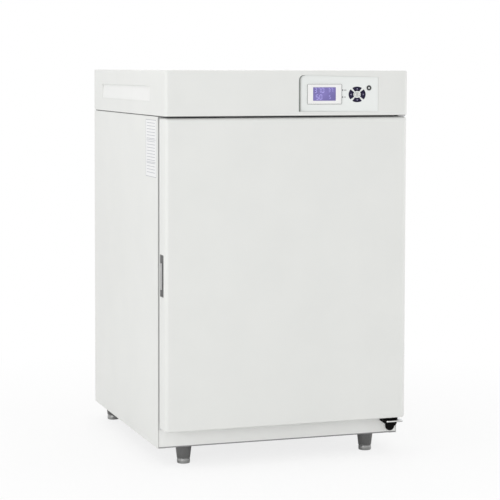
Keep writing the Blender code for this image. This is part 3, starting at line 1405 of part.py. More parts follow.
def make_feet():
    """Four rubber feet, each on a threaded stud that screws up through the base pan."""
    seat = PAN_UNDER - FIT
    profile = [
        (0.0, PAN_UNDER + STUD_RISE),
        (STUD_RADIUS, PAN_UNDER + STUD_RISE),
        (STUD_RADIUS, seat),
        (FOOT_TOP_RADIUS, seat),
        (FOOT_TOP_RADIUS, seat - 0.004),
        (FOOT_RADIUS + 0.0004, FOOT_RING + 0.0012),
        (FOOT_RADIUS - 0.0010, FOOT_RING),
        (FOOT_RADIUS, FOOT_RING - 0.0012),
        (FOOT_RADIUS, 0.0020),
        (FOOT_RADIUS - 0.0015, 0.0),
        (0.0, 0.0),
    ]
    names = ("foot_front_left", "foot_front_right", "foot_rear_left", "foot_rear_right")
    for name, (x, y) in zip(names, foot_places()):
        place(name, turned_on(profile, (x, y, 0), steps=16), RUBBER, origin=(x, y, 0.0))


def shade():
    """Smooth shading on round faces, with the sharp edges kept."""
    for obj in PARTS.objects:
        obj.data.shade_smooth()
        obj.data.set_sharp_from_angle(angle=math.radians(35))


make_casing()
make_front_frame()
make_insulation()
make_liner()
make_heater()
make_racks()
make_shelves()
make_fan()
make_chamber_fittings()
make_gas_line()
make_head_shell()
make_control_panel()
make_head_inside()
make_hinges()
make_door()
make_glass_door()
make_feet()
shade()
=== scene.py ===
# %% [markdown]
# # A carbon dioxide incubator, dressed for its portrait
# The solids of the cabinet, its doors and its inside parts come ready-made and stay where they are. This
# lesson gives them their looks: it works out finer surfaces with numpy where a rounded edge or a turned
# form catches the light, and mixes a finish for every sheet, seal and moulding. Sizes are in metres, Z
# points up and the door faces -Y.

import json
import math

import bmesh
import bpy
import numpy as np
from mathutils import Matrix, Vector


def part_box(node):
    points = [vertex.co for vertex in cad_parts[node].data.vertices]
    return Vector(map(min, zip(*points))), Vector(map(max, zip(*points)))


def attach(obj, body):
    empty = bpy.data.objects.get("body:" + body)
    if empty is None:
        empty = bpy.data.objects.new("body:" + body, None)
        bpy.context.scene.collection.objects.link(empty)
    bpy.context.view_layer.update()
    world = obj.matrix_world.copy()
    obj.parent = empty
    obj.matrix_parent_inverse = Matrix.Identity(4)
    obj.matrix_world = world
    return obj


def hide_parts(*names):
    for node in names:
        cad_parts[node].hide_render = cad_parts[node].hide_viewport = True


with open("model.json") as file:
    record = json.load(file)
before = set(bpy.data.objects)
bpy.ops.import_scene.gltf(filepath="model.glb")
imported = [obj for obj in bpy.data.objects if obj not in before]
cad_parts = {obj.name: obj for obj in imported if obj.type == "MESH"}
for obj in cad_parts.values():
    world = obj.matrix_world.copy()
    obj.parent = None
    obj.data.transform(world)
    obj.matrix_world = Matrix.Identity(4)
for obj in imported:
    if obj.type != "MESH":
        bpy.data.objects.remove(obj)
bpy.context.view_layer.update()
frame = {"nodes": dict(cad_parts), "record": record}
nodes = frame["nodes"]

# %% [markdown]
# ## Camera
# The photograph was taken with a long lens from the left, a little above the door's middle. Its vanishing
# lines give the place and the lens. They could be matched by eye, but the camera was fitted, so its numbers
# are simply typed here. The verticals run almost parallel although the lens looks down from the height of the
# head, so it tilts very little and the frame is shifted, as on a view camera.

# %% The photograph's viewpoint
EYE = Vector((-1.3521, -4.0536, 0.9141))
YAW, PITCH, ROLL = math.radians(18.673), math.radians(3.380), math.radians(0.133)

ahead = Vector((math.sin(YAW) * math.cos(PITCH), math.cos(YAW) * math.cos(PITCH), -math.sin(PITCH)))
level = Vector((math.cos(YAW), -math.sin(YAW), 0.0))
upward = level.cross(ahead)
right = level * math.cos(ROLL) + upward * math.sin(ROLL)
above = upward * math.cos(ROLL) - level * math.sin(ROLL)

lens = bpy.data.cameras.new("portrait_lens")
lens.sensor_width, lens.lens, lens.shift_y = 36.0, 125.06, -0.1621
viewpoint = bpy.data.objects.new("portrait_camera", lens)
viewpoint.matrix_world = Matrix([*zip(right, above, -ahead, EYE), (0, 0, 0, 1)])
bpy.context.scene.collection.objects.link(viewpoint)
bpy.context.scene.camera = viewpoint
print("camera distance:", round(EYE.length, 3))

# %% [markdown]
# ## Helpers for surfaces
# Most pieces here are grids: rows along one parameter, columns along another. One helper turns such a grid
# of points into a mesh, and closes it round or over its ends where the form needs it. It takes whole
# arrays, because a loop over thousands of points is slow and hides the formula.


# %% Grids into meshes
def grid_faces(rows, columns, wrap_rows=False, wrap_columns=False):
    """Quads between neighbours of a rows x columns grid, with the last joined to the first if it wraps."""
    row = np.arange(rows if wrap_rows else rows - 1)
    column = np.arange(columns if wrap_columns else columns - 1)
    row, column = (a.ravel() for a in np.meshgrid(row, column, indexing="ij"))
    next_row, next_column = (row + 1) % rows, (column + 1) % columns
    corners = ((row, column), (row, next_column), (next_row, next_column), (next_row, column))
    return np.stack([r * columns + c for r, c in corners], axis=1)


def outward(mesh, weld=1e-6):
    """Joins points that lie together and turns all faces outwards."""
    work = bmesh.new()
    work.from_mesh(mesh)
    bmesh.ops.remove_doubles(work, verts=work.verts, dist=weld)
    bmesh.ops.recalc_face_normals(work, faces=work.faces)
    work.to_mesh(mesh)
    work.free()
    return mesh


def surface(name, points, wrap_rows=False, wrap_columns=False, caps=(), angle=38.0):
    """An object from a (rows, columns, 3) array. caps lists the rows, 0 or -1, that get a lid."""
    rows, columns = points.shape[:2]
    faces = grid_faces(rows, columns, wrap_rows, wrap_columns).tolist()
    for end in caps:
        first = (rows - 1) * columns if end == -1 else 0
        faces.append(list(range(first, first + columns)))
    mesh = bpy.data.meshes.new(name)
    mesh.from_pydata(points.reshape(-1, 3).tolist(), [], faces)
    return finished(name, outward(mesh), angle)


def smoothed(mesh, angle=38.0):
    """Shades a mesh smooth, except at edges sharper than the angle."""
    mesh.shade_smooth()
    mesh.set_sharp_from_angle(angle=math.radians(angle))


def finished(name, mesh, angle=38.0):
    """Links a mesh as an object at the origin, smooth up to the angle."""
    piece = bpy.data.objects.new(name, mesh)
    bpy.context.scene.collection.objects.link(piece)
    smoothed(mesh, angle)
    return piece


def layered(name, loops, depths, place=None, **how):
    """A surface of closed loops in the XZ plane, each at its own depth along Y, then put in place."""
    plane = np.stack([np.asarray(loop, float) for loop in loops])
    depth = np.broadcast_to(np.asarray(depths, float)[:, None], plane.shape[:2])
    points = np.stack([plane[..., 0], depth, plane[..., 1]], axis=-1)
    piece = surface(name, points, wrap_columns=True, **how)
    if place is not None:
        piece.data.transform(place)
    return piece


def prism(name, outline, low, high, place=None):
    """A closed outline in the XZ plane, drawn out along Y from low to high."""
    return layered(name, [outline, outline], (low, high), place, caps=(0, -1))


def merged(name, *objects):
    """One object from several, which are removed."""
    work = bmesh.new()
    for obj in objects:
        work.from_mesh(obj.data)
        bpy.data.objects.remove(obj, do_unlink=True)
    mesh = bpy.data.meshes.new(name)
    work.to_mesh(mesh)
    work.free()
    return finished(name, mesh)


def soft_corners(left, low, right, high, radius, steps=8):
    """An (n, 2) array round a rectangle with quarter-circle corners, anticlockwise from the top right."""
    quarter = np.linspace(0.0, np.pi / 2, steps + 1)
    corners = []
    for x, z, turn in ((right, high, 0), (left, high, 1), (left, low, 2), (right, low, 3)):
        centre = np.array([x - radius if x == right else x + radius, z - radius if z == high else z + radius])
        angles = quarter + turn * np.pi / 2
        corners.append(centre + radius * np.stack([np.cos(angles), np.sin(angles)], axis=1))
    return np.concatenate(corners)


def turned(name, profile, centre, axis="Z", steps=64):
    """Turns (radius, height) pairs about an axis through centre: x = r cos t, y = r sin t, z = height."""
    profile = np.asarray(profile, float)
    turn = np.linspace(0.0, 2 * np.pi, steps, endpoint=False)
    radius, height = profile[:, :1], profile[:, 1:] + 0 * turn
    round_x, round_y = radius * np.cos(turn), radius * np.sin(turn)
    layers = {"Z": (round_x, round_y, height), "Y": (round_x, height, round_y)}[axis]
    return surface(name, np.stack(layers, axis=-1) + np.asarray(centre), wrap_columns=True)


def boolean(piece, *cutters, operation="DIFFERENCE"):
    """Cuts or joins with closed helper shapes, and bakes the result into the mesh."""
    for cutter in cutters:
        step = piece.modifiers.new("cut", "BOOLEAN")
        step.operation, step.object = operation, cutter
    bake(piece)
    for cutter in cutters:
        bpy.data.objects.remove(cutter, do_unlink=True)
    return piece


def bake(piece):
    """Replaces a piece's mesh by what its modifiers make of it."""
    graph = bpy.context.evaluated_depsgraph_get()
    mesh = bpy.data.meshes.new_from_object(piece.evaluated_get(graph))
    piece.modifiers.clear()
    piece.data = mesh
    return piece


def walled(piece, thickness):
    """Gives an open surface its wall, towards the inside."""
    wall = piece.modifiers.new("wall", "SOLIDIFY")
    wall.thickness, wall.offset, wall.use_even_offset = thickness, -1.0, True
    return bake(piece)


def block(name, low, high):
    """A plain closed box, as a cutter or a backing. Corner i lies high on axis k where bit k of i is set."""
    corners = np.array([[low, high][(i >> k) & 1][k] for i in range(8) for k in range(3)]).reshape(8, 3)
    mesh = bpy.data.meshes.new(name)
    faces = [(0, 1, 3, 2), (4, 6, 7, 5), (0, 4, 5, 1), (2, 3, 7, 6), (0, 2, 6, 4), (1, 5, 7, 3)]
    mesh.from_pydata(corners.tolist(), [], faces)
    return finished(name, outward(mesh))


def raised(path, height):
    """A path in plan as points at one height."""
    return np.column_stack([path, np.full(len(path), height)])


def size_of(piece):
    """A piece's box, for printing."""
    return [round(v, 4) for v in piece.dimensions]


print("helpers ready")

# %% [markdown]
# ## Finishes
# A finish is a small network of nodes. All of them read Object coordinates, so that a pattern keeps its
# real scale in metres, and they differ in three things: a slight drift of colour, a grain in the bump and
# a drift of roughness. One builder makes that network, and each finish gives it its own numbers.


# %% A finish from noise, grain and bump
def network(name):
    """A new material with an empty network, its Principled shader and its coordinates."""
    material = bpy.data.materials.new(name)
    material.use_nodes = True
    tree = material.node_tree
    shader = tree.nodes["Principled BSDF"]
    place = tree.nodes.new("ShaderNodeTexCoord").outputs["Object"]
    return material, tree, shader, place


def added(tree, kind, inputs, operation=None):
    """A new node, each of whose inputs gets a plain value or another node's output."""
    node = tree.nodes.new("ShaderNode" + kind)
    if operation:
        node.operation = operation
    for socket, value in inputs.items():
        if isinstance(value, bpy.types.NodeSocket):
            tree.links.new(value, node.inputs[socket])
        else:
            node.inputs[socket].default_value = value
    return node


def maths(tree, operation, *values):
    """What a Math node makes of numbers and outputs."""
    return added(tree, "Math", dict(enumerate(values)), operation).outputs["Value"]


def speckle(tree, place, scale, detail, stretch=(1, 1, 1)):
    """Noise over the piece, stretched along an axis for a brushed or drawn grain."""
    mapping = added(tree, "Mapping", {"Vector": place, "Scale": stretch})
    noise = added(tree, "TexNoise", {"Vector": mapping.outputs["Vector"], "Scale": scale, "Detail": detail})
    return noise.outputs["Fac"]


def between(tree, source, low, high):
    """Maps the middle of a 0 to 1 value to a range."""
    limits = {"From Min": 0.3, "From Max": 0.7, "To Min": low, "To Max": high}
    return added(tree, "MapRange", {"Value": source, **limits}).outputs["Result"]


def blended(tree, factor, first, second):
    """Mixes two colours, or outputs, by a factor."""
    mix = tree.nodes.new("ShaderNodeMix")
    mix.data_type = "RGBA"
    for socket, value in ((mix.inputs["A"], first), (mix.inputs["B"], second)):
        if isinstance(value, tuple):
            socket.default_value = (*value, 1.0)
        else:
            tree.links.new(value, socket)
    tree.links.new(factor, mix.inputs["Factor"])
    return mix.outputs["Result"]


def clouded(tree, shader, place, light, dark, scale, detail):
    """Lets the base colour drift from light to dark, and returns that colour."""
    cloud = speckle(tree, place, scale, detail)
    colour = blended(tree, between(tree, cloud, 0.0, 1.0), light, dark)
    tree.links.new(colour, shader.inputs["Base Color"])
    return colour


def finish(name, light, dark, rough, grain, depth, metallic=0.0, stretch=(1, 1, 1), **settings):
    """A finish: colour drifts from light to dark, roughness within rough, and grain dents it by depth."""
    material, tree, shader, place = network(name)
    clouded(tree, shader, place, light, dark, 9.0, 3.0)
    fine = speckle(tree, place, grain, 2.0, stretch)
    tree.links.new(between(tree, fine, *rough), shader.inputs["Roughness"])
    dents = added(tree, "Bump", {"Strength": 0.35, "Distance": depth, "Height": fine})
    tree.links.new(dents.outputs["Normal"], shader.inputs["Normal"])
    shader.inputs["Metallic"].default_value = metallic
    for socket, value in settings.items():
        shader.inputs[socket.replace("_", " ")].default_value = value
    return material


# %% [markdown]
# The casing is sheet steel with a baked powder coat: nearly white, satin, with the faint orange peel of
# powder that has flowed. A glossy car paint would mirror the room, so the coat stays rough and the peel
# shows only where the light grazes it.

# %% Powder coat, strip paint lightened as painted light, and black coatings
powder_coat = finish("powder_coat", (0.790, 0.797, 0.775), (0.770, 0.778, 0.757), (0.38, 0.46), 900.0, 5e-5)
# The strip's coat is the casing's, made lighter as painted light to offset the shade the door casts on the
# strip.
strip_coat_painted_light = finish("strip_coat_painted_light", (0.875, 0.880, 0.862), (0.855, 0.860, 0.843), (0.42, 0.5), 900.0, 5e-5)
dark_coat = finish("dark_coat", (0.045, 0.045, 0.047), (0.03, 0.03, 0.032), (0.5, 0.62), 1200.0, 4e-5)
# Black for the bracket; on the lower bush the same black is painted shade, for the shaded gap under the door.
black_coat_and_gap_shade = finish(
    "black_coat_and_gap_shade", (0.004, 0.004, 0.004), (0.002, 0.002, 0.002), (0.6, 0.7), 1500.0, 4e-5,
    Specular_IOR_Level=0.08,
)
print("paints ready")

# %% [markdown]
# Stainless sheet is brushed: long fine scratches in one direction. Stretching a noise along that direction
# is cheaper than drawing scratches and never repeats. Zinc-coated sheet has no scratches but large faint
# spangles, which cells of a Voronoi pattern imitate.

# %% Stainless steel, zinc and brass
steel = finish(
    "brushed_steel", (0.62, 0.62, 0.61), (0.56, 0.56, 0.555), (0.26, 0.42), 260.0, 0.00003,
    metallic=1.0, stretch=(0.06, 1.0, 3.0),
)
bright_steel = finish(
    "turned_steel", (0.66, 0.66, 0.65), (0.60, 0.60, 0.59), (0.18, 0.3), 700.0, 0.00002,
    metallic=1.0, stretch=(1.0, 3.0, 1.0),
)
bare_edge = finish(
    "bare_edge", (0.86, 0.86, 0.85), (0.80, 0.80, 0.79), (0.3, 0.4), 1200.0, 0.00002, metallic=1.0
)
foot_steel = finish(
    "foot_steel", (0.50, 0.50, 0.495), (0.43, 0.43, 0.425), (0.20, 0.30), 900.0, 0.00003,
    metallic=1.0, stretch=(1.0, 1.0, 6.0),
)
brass = finish(
    "turned_brass", (0.75, 0.56, 0.24), (0.66, 0.48, 0.20), (0.2, 0.34), 700.0, 0.00002,
    metallic=1.0, stretch=(1.0, 4.0, 1.0),
)

zinc, tree, shader, place = network("zinc_sheet")
cells = added(tree, "TexVoronoi", {"Vector": place, "Scale": 90.0})
tone = added(tree, "RGBToBW", {"Color": cells.outputs["Color"]}).outputs["Val"]
tree.links.new(blended(tree, tone, (0.50, 0.51, 0.53), (0.62, 0.63, 0.64)), shader.inputs["Base Color"])
tree.links.new(between(tree, tone, 0.32, 0.48), shader.inputs["Roughness"])
shader.inputs["Metallic"].default_value = 1.0
print("metals ready")

# %% [markdown]
# Mouldings differ by their tool's texture: a fine spark-eroded grain on the frame and the cup, a smoother
# one on the white parts. Rubber is darker, rougher and dusty. Foam shows its cut cells.

# %% Plastics, rubbers and foam
frame_plastic = finish("frame_plastic", (0.73, 0.74, 0.73), (0.70, 0.71, 0.70), (0.45, 0.55), 2600.0, 5e-5)
white_plastic = finish("white_plastic", (0.80, 0.80, 0.785), (0.77, 0.77, 0.755), (0.28, 0.36), 1800.0, 2e-5)
# The scoop plates' white is lighter than the coat as painted light, where the wedge faces up to the lamps.
scoop_painted_light = finish("scoop_painted_light", (0.850, 0.855, 0.840), (0.835, 0.840, 0.825), (0.4, 0.48), 1800.0, 2e-5)
grey_plastic = finish("grey_plastic", (0.27, 0.27, 0.275), (0.23, 0.23, 0.235), (0.45, 0.58), 2600.0, 6e-5)
# The cup's dark plastic is darkened as painted shade, for the deep pocket and its ends.
cup_plastic_and_shade = finish("cup_plastic_and_shade", (0.19, 0.19, 0.19), (0.15, 0.15, 0.15), (0.45, 0.55), 2600.0, 5e-5)
# The grip plate's light grey is painted light, where light reaches just inside the cup's mouth.
grip_painted_light = finish("grip_painted_light", (0.83, 0.83, 0.82), (0.78, 0.78, 0.77), (0.4, 0.5), 2600.0, 4e-5)
black_plastic = finish(
    "black_plastic", (0.022, 0.022, 0.023), (0.014, 0.014, 0.015), (0.38, 0.5), 2600.0, 6e-5
)
seal_rubber = finish("seal_rubber", (0.30, 0.30, 0.305), (0.24, 0.24, 0.245), (0.6, 0.75), 1500.0, 6e-5)
foot_rubber = finish("foot_rubber", (0.140, 0.140, 0.138), (0.110, 0.110, 0.109), (0.24, 0.32), 1400.0, 5e-5)
silicone = finish(
    "silicone", (0.72, 0.74, 0.74), (0.66, 0.68, 0.68), (0.4, 0.5), 900.0, 0.00003, Subsurface_Weight=0.25
)
foam = finish("rigid_foam", (0.78, 0.70, 0.42), (0.66, 0.57, 0.32), (0.8, 0.95), 420.0, 0.0006)
print("mouldings ready")

# %% [markdown]
# The overlay on the control panel is a printed film with a cool, faintly green white. The display is a
# blue-violet window that glows a little. Keys are satin rubber under the same print. Float glass passes
# light straight through, with a green cast and a sharp gloss.

# %% Overlay film, display, keys, board and glass
film = finish("overlay_film", (0.845, 0.868, 0.852), (0.827, 0.850, 0.834), (0.3, 0.36), 2000.0, 1e-5)
key_rubber = finish(
    "key_rubber", (0.017, 0.012, 0.045), (0.011, 0.008, 0.030), (0.5, 0.6), 2400.0, 3e-5,
    Specular_IOR_Level=0.2,
)
power_grey = finish("power_grey", (0.050, 0.052, 0.054), (0.036, 0.038, 0.040), (0.35, 0.45), 2400.0, 3e-5)
key_print = finish("key_print", (0.30, 0.28, 0.40), (0.25, 0.23, 0.34), (0.4, 0.5), 2400.0, 1e-5)
grey_print = finish("grey_print", (0.36, 0.38, 0.37), (0.30, 0.32, 0.31), (0.4, 0.5), 2400.0, 1e-5)
# This dark ink prints the light marks; as the ring round the bezel it is painted shade for the groove there.
print_and_groove_shade = finish("print_and_groove_shade", (0.095, 0.105, 0.100), (0.070, 0.078, 0.074), (0.4, 0.5), 2400.0, 1e-5)
bezel_white = finish("bezel_white", (0.90, 0.90, 0.89), (0.88, 0.88, 0.87), (0.3, 0.38), 1800.0, 1e-5)
# The dark grey of the strip beside the film is painted shade, for the shadow along the recess's deep left
# wall.
panel_painted_shade = finish("panel_painted_shade", (0.235, 0.255, 0.238), (0.195, 0.215, 0.198), (0.55, 0.7), 1500.0, 4e-5)
smoked = finish("smoked_lens", (0.05, 0.05, 0.055), (0.035, 0.035, 0.04), (0.12, 0.18), 900.0, 1e-5)


def backlit(name, dim, bright, glow):
    """A display's colour with a soft uneven backlight that glows a little."""
    material, tree, shader, place = network(name)
    colour = clouded(tree, shader, place, dim, bright, 28.0, 1.0)
    tree.links.new(colour, shader.inputs["Emission Color"])
    shader.inputs["Emission Strength"].default_value = glow
    shader.inputs["Roughness"].default_value = 0.12
    return material


display_blue = backlit("display_blue", (0.128, 0.108, 0.300), (0.184, 0.156, 0.410), 0.30)
digit_light = backlit("digit_light", (0.34, 0.30, 0.66), (0.42, 0.38, 0.74), 0.35)
board_green = finish("board_green", (0.03, 0.17, 0.08), (0.02, 0.12, 0.05), (0.35, 0.5), 600.0, 5e-5)

glass, tree, shader, place = network("float_glass")
clouded(tree, shader, place, (0.90, 0.97, 0.94), (0.88, 0.955, 0.925), 4.0, 1.0)
for socket, value in (("Roughness", 0.02), ("IOR", 1.5), ("Transmission Weight", 0.9)):
    shader.inputs[socket].default_value = value
print("materials:", len(bpy.data.materials))

# %% [markdown]
# High on the left side, next to the door, the cabinet carries a tall white sticker. It is thinner than a
# tenth of a millimetre, and the side's face is already the widest point of the object, so it is a part of
# the paint's material and not a piece of its own. A box mask on Object coordinates is 1 where
# |y - centre| < half width and |z - centre| < half height. Two masks of different size leave a thin border.
# The fraction of height over pitch repeats once per pitch, so that comparing it with a value draws faint
# ruled lines, like an empty form.

# %% Paint with a blank sticker
def inside(tree, place, centre, half):
    """1 inside a rectangle in the YZ plane, 0 outside, as a product of two comparisons."""
    split = added(tree, "SeparateXYZ", {0: place})
    across = maths(tree, "COMPARE", split.outputs["Y"], centre[0], half[0])
    up = maths(tree, "COMPARE", split.outputs["Z"], centre[1], half[1])
    return maths(tree, "MULTIPLY", across, up)


side_coat = powder_coat.copy()
side_coat.name = "side_coat"
tree = side_coat.node_tree
shader = tree.nodes["Principled BSDF"]
place = next(node for node in tree.nodes if node.type == "TEX_COORD").outputs["Object"]
paint = shader.inputs["Base Color"].links[0].from_socket
STICKER, STICKER_HALF, LINE_PITCH = (-0.2165, 0.7265), (0.0445, 0.0655), 0.0071
bordered = blended(tree, inside(tree, place, STICKER, STICKER_HALF), paint, (0.42, 0.43, 0.46))
field = inside(tree, place, STICKER, (STICKER_HALF[0] - 0.0016, STICKER_HALF[1] - 0.0012))
blank = blended(tree, field, bordered, (0.845, 0.85, 0.85))
for rule_height in (0.695, 0.746):
    rule = inside(tree, place, (STICKER[0], rule_height), (STICKER_HALF[0] - 0.006, 0.0007))
    blank = blended(tree, rule, blank, (0.50, 0.51, 0.53))
height = added(tree, "SeparateXYZ", {0: place}).outputs["Z"]
phase = maths(tree, "FRACT", maths(tree, "DIVIDE", height, LINE_PITCH))
lines = maths(tree, "COMPARE", phase, 0.5, 0.10)
form = inside(tree, place, STICKER, (STICKER_HALF[0] - 0.010, STICKER_HALF[1] - 0.006))
blank = blended(tree, maths(tree, "MULTIPLY", lines, form), blank, (0.46, 0.47, 0.50))
tree.links.new(blank, shader.inputs["Base Color"])
print("sticker:", 2 * STICKER_HALF[0], "x", 2 * STICKER_HALF[1])

# %% [markdown]
# Every carried-over solid now gets its finish by the name of its record slot, so no node is left with the
# grey it was loaded with.

# %% Finishes by slot
SLOT_FINISH = {
    "casing_paint": powder_coat, "strip_paint": strip_coat_painted_light, "dark_sheet": dark_coat,
    "black_metal": black_coat_and_gap_shade, "zinc_sheet": zinc, "stainless": steel, "brass": brass,
    "glass": glass, "clear_lens": smoked,
    "frame_plastic": frame_plastic, "white_plastic": white_plastic, "grey_plastic": grey_plastic,
    "black_plastic": black_plastic, "foam": foam, "silicone": silicone, "seal_grey": seal_rubber,
    "foot_rubber": foot_rubber, "overlay_film": film, "display": display_blue, "key_navy": key_rubber,
    "board_green": board_green,
}
slot_of = {entry["node"]: entry["material_slot"] for entry in frame["record"]["subparts"]}
for node, obj in nodes.items():
    obj.data.materials.clear()
    obj.data.materials.append(SLOT_FINISH[slot_of[node]])
nodes["side_panel_left"].data.materials[0] = side_coat


def dress(piece, material, body, node=None):
    """Gives a finished piece its material and its body, and lets it stand for a node if it has one."""
    piece.data.materials.clear()
    piece.data.materials.append(material)
    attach(piece, body)
    if node:
        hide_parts(node)


print("dressed:", len(slot_of))

# %% [markdown]
# ## The outer door
# The door's skin is one deep-drawn steel pan: a flat front that rolls over a radius of about ten
# millimetres into the sides, with rounded corners. A box with a Bevel modifier would do, but its corners
# come out as facets. Here a loop runs round the door, and it moves inwards and forwards along a quarter
# circle: inset = r (1 - cos a), depth = r (1 - sin a). Along the bottom the inset is a share of that, because
# the lower edge is folded more sharply. The corner keeps the same radius on every loop, as a drawing die
# leaves it, so the front face has soft corners too.


# %% A drawn pan with a rolled edge
def drawn_pan(name, low, high, corner, roll, rear, front, steps=10, inner=0.0004, lower=1.0):
    """A pan open to the rear: straight sides from rear, then a quarter-circle roll into the flat front."""
    angle = np.linspace(0.0, np.pi / 2, steps + 1)
    inset = np.concatenate([[0.0, 0.0], roll * (1 - np.cos(angle))[1:]])
    depth = np.concatenate([[rear, front + roll], front + roll * (1 - np.sin(angle))[1:]])
    loops = [
        soft_corners(low[0] + d, low[1] + lower * d, high[0] - d, high[1] - d, max(corner - d, inner), steps)
        for d in inset
    ]
    return layered(name, loops, depth, caps=(-1,))


skin_low, skin_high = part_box("door_skin")
DOOR_CORNER, DOOR_ROLL, DOOR_SHEET, CUP_WALL = 0.0068, 0.0105, 0.0012, 0.0015
door_pan = drawn_pan(
    "door_pan", (skin_low.x, skin_low.z), (skin_high.x, skin_high.z), DOOR_CORNER, DOOR_ROLL,
    skin_high.y, skin_low.y, inner=DOOR_CORNER, lower=0.35,
)
walled(door_pan, DOOR_SHEET)
cup_low, cup_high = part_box("handle_cup")
CUP_FIT = 0.0003
mouth = soft_corners(
    cup_low.y - CUP_FIT, cup_low.z - CUP_FIT, cup_high.y + CUP_FIT, cup_high.z + CUP_FIT, 0.003, 6
)
swapped = Matrix(((0, 1, 0, 0), (1, 0, 0, 0), (0, 0, 1, 0), (0, 0, 0, 1)))
grip_hole = prism("grip_hole", mouth, -0.02, 0.02, Matrix.Translation((skin_low.x, 0, 0)) @ swapped)
outward(grip_hole.data)
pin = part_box("door_bush_upper")
pin_x, pin_y = (pin[0].x + pin[1].x) / 2, (pin[0].y + pin[1].y) / 2
bush_hole = turned(
    "bush_hole", [(0.0, 0.85), (0.0078, 0.85), (0.0078, 0.05), (0.0, 0.05)], (pin_x, pin_y, 0.0), steps=40
)
boolean(door_pan, grip_hole, bush_hole)
smoothed(door_pan.data)
dress(door_pan, powder_coat, "door", "door_skin")
print("door faces:", len(door_pan.data.polygons))

# %% [markdown]
# The grip is a moulded cup let into the door's left side. The hand goes in from the side, so the cup is an
# open box with soft inner corners. It is the same drawn pan as the door, turned to face left, with its mouth
# flush with the skin. Its dark plastic is darkened as painted shade for the deep pocket and its ends, and a
# lighter plate on the wall behind the fingers, just inside the mouth, is painted light where light reaches
# in.

# %% The grip cup
cup = drawn_pan(
    "grip_cup", (cup_low.y, cup_low.z), (cup_high.y, cup_high.z), 0.003, 0.004,
    0.0, cup_low.x - cup_high.x, steps=6,
)
turn_left = Matrix(((0, -1, 0, cup_low.x), (1, 0, 0, 0), (0, 0, 1, 0), (0, 0, 0, 1)))
cup.data.transform(turn_left)
walled(cup, CUP_WALL)
dress(cup, cup_plastic_and_shade, "door", "handle_cup")

wall_y = cup_high.y - CUP_WALL
GRIP_FOOT, GRIP_TOP = 0.409, 0.4695
grip_outline = soft_corners(cup_low.x + 0.0002, GRIP_FOOT, cup_low.x + 0.0040, GRIP_TOP, 0.0012, 5)
lit_grip_plate = prism("lit_grip_plate", grip_outline, wall_y - 0.0011, wall_y + 0.0002)
dress(lit_grip_plate, grip_painted_light, "door")
print("cup box:", size_of(cup))

# %% [markdown]
# The door's seal is a soft extrusion with a magnet inside. Its section is a low dome with two grooves,
# which a plain rectangle lacks, so a profile is carried round the door as a closed loop: each profile
# point has a distance from the outer edge and a height, and each gives one loop.


# %% A section carried round a rounded rectangle
def framed(name, low, high, corner, section, steps=8):
    """Carries (inset, depth) pairs round a rectangle in XZ as closed loops, joined into one ring."""
    loops = [
        soft_corners(low[0] + d, low[1] + d, high[0] - d, high[1] - d, max(corner - d, 0.0015), steps)
        for d, _ in section
    ]
    return layered(name, loops, [y for _, y in section], wrap_rows=True, angle=50.0)


seal_low, seal_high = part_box("door_gasket")
share = np.linspace(0.0, 1.0, 33)
SEAL_WIDTH, DOME, GROOVE, CHAMFER = 0.0160, 0.0030, 0.0011, 0.0015
dome = DOME * (1 - np.abs(2 * share - 1) ** 4)
for groove_at in (0.30, 0.70):
    dome = dome - GROOVE * np.exp(-(((share - groove_at) / 0.05) ** 2))
front_face = [(SEAL_WIDTH * s, seal_high.y - DOME + d) for s, d in zip(share, dome)]
back_face = [
    (SEAL_WIDTH, seal_low.y + CHAMFER), (SEAL_WIDTH - 0.003, seal_low.y),
    (0.003, seal_low.y), (0.0, seal_low.y + CHAMFER),
]
door_seal = framed(
    "door_seal", (seal_low.x, seal_low.z), (seal_high.x, seal_high.z), 0.010, front_face + back_face
)
dress(door_seal, seal_rubber, "door", "door_gasket")
print("seal depth:", round(door_seal.dimensions.y, 4))

# %% [markdown]
# ## The control head
# The head is one folded and drawn cover over the whole top. In plan it is a U, open to the rear, with its
# two front corners rounded. The walls rise and roll into the top over a small radius. The plan is a path,
# the wall is a profile, and the flat top closes the last row.


# %% The cover as a path and a profile
def plan_path(side, front, rear, corner, steps=10):
    """An (n, 2) path in XY: up the left side, round two quarter circles, and back down the right side."""
    turn = np.linspace(0.0, np.pi / 2, steps + 1)
    left = np.stack([-side + corner * (1 - np.cos(turn)), front + corner * (1 - np.sin(turn))], axis=1)
    mirrored = left[::-1] * np.array([-1.0, 1.0])
    return np.concatenate([[[-side, rear]], left, mirrored, [[side, rear]]])


head_low, head_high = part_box("head_shell")
HEAD_ROLL, HEAD_CORNER, HEAD_SHEET = 0.0035, 0.0105, 0.0020
lift = np.linspace(0.0, np.pi / 2, 7)[1:]
insets = [0.0, 0.0, *(HEAD_ROLL * (1 - np.cos(lift)))]
heights = [head_low.z, head_high.z - HEAD_ROLL, *(head_high.z - HEAD_ROLL * (1 - np.sin(lift)))]
rows = [
    raised(plan_path(head_high.x - inset, head_low.y + inset, head_high.y, HEAD_CORNER - inset), height)
    for inset, height in zip(insets, heights)
]
head = surface("head_cover", np.stack(rows), caps=(-1,))
walled(head, HEAD_SHEET)
print("head rows:", len(rows))

# %% [markdown]
# The panel lies in a wedge-shaped recess: deep at its left, nearly flush at its right. The real cover is
# pressed in from behind there, so a backing block is joined to the wall first and the wedge is cut out of
# both. The cutter is a flat prism in the panel's own tilted frame, whose numbers are those of the panel's
# solids. Its outline has one large round corner, and its upper edge falls to the right.

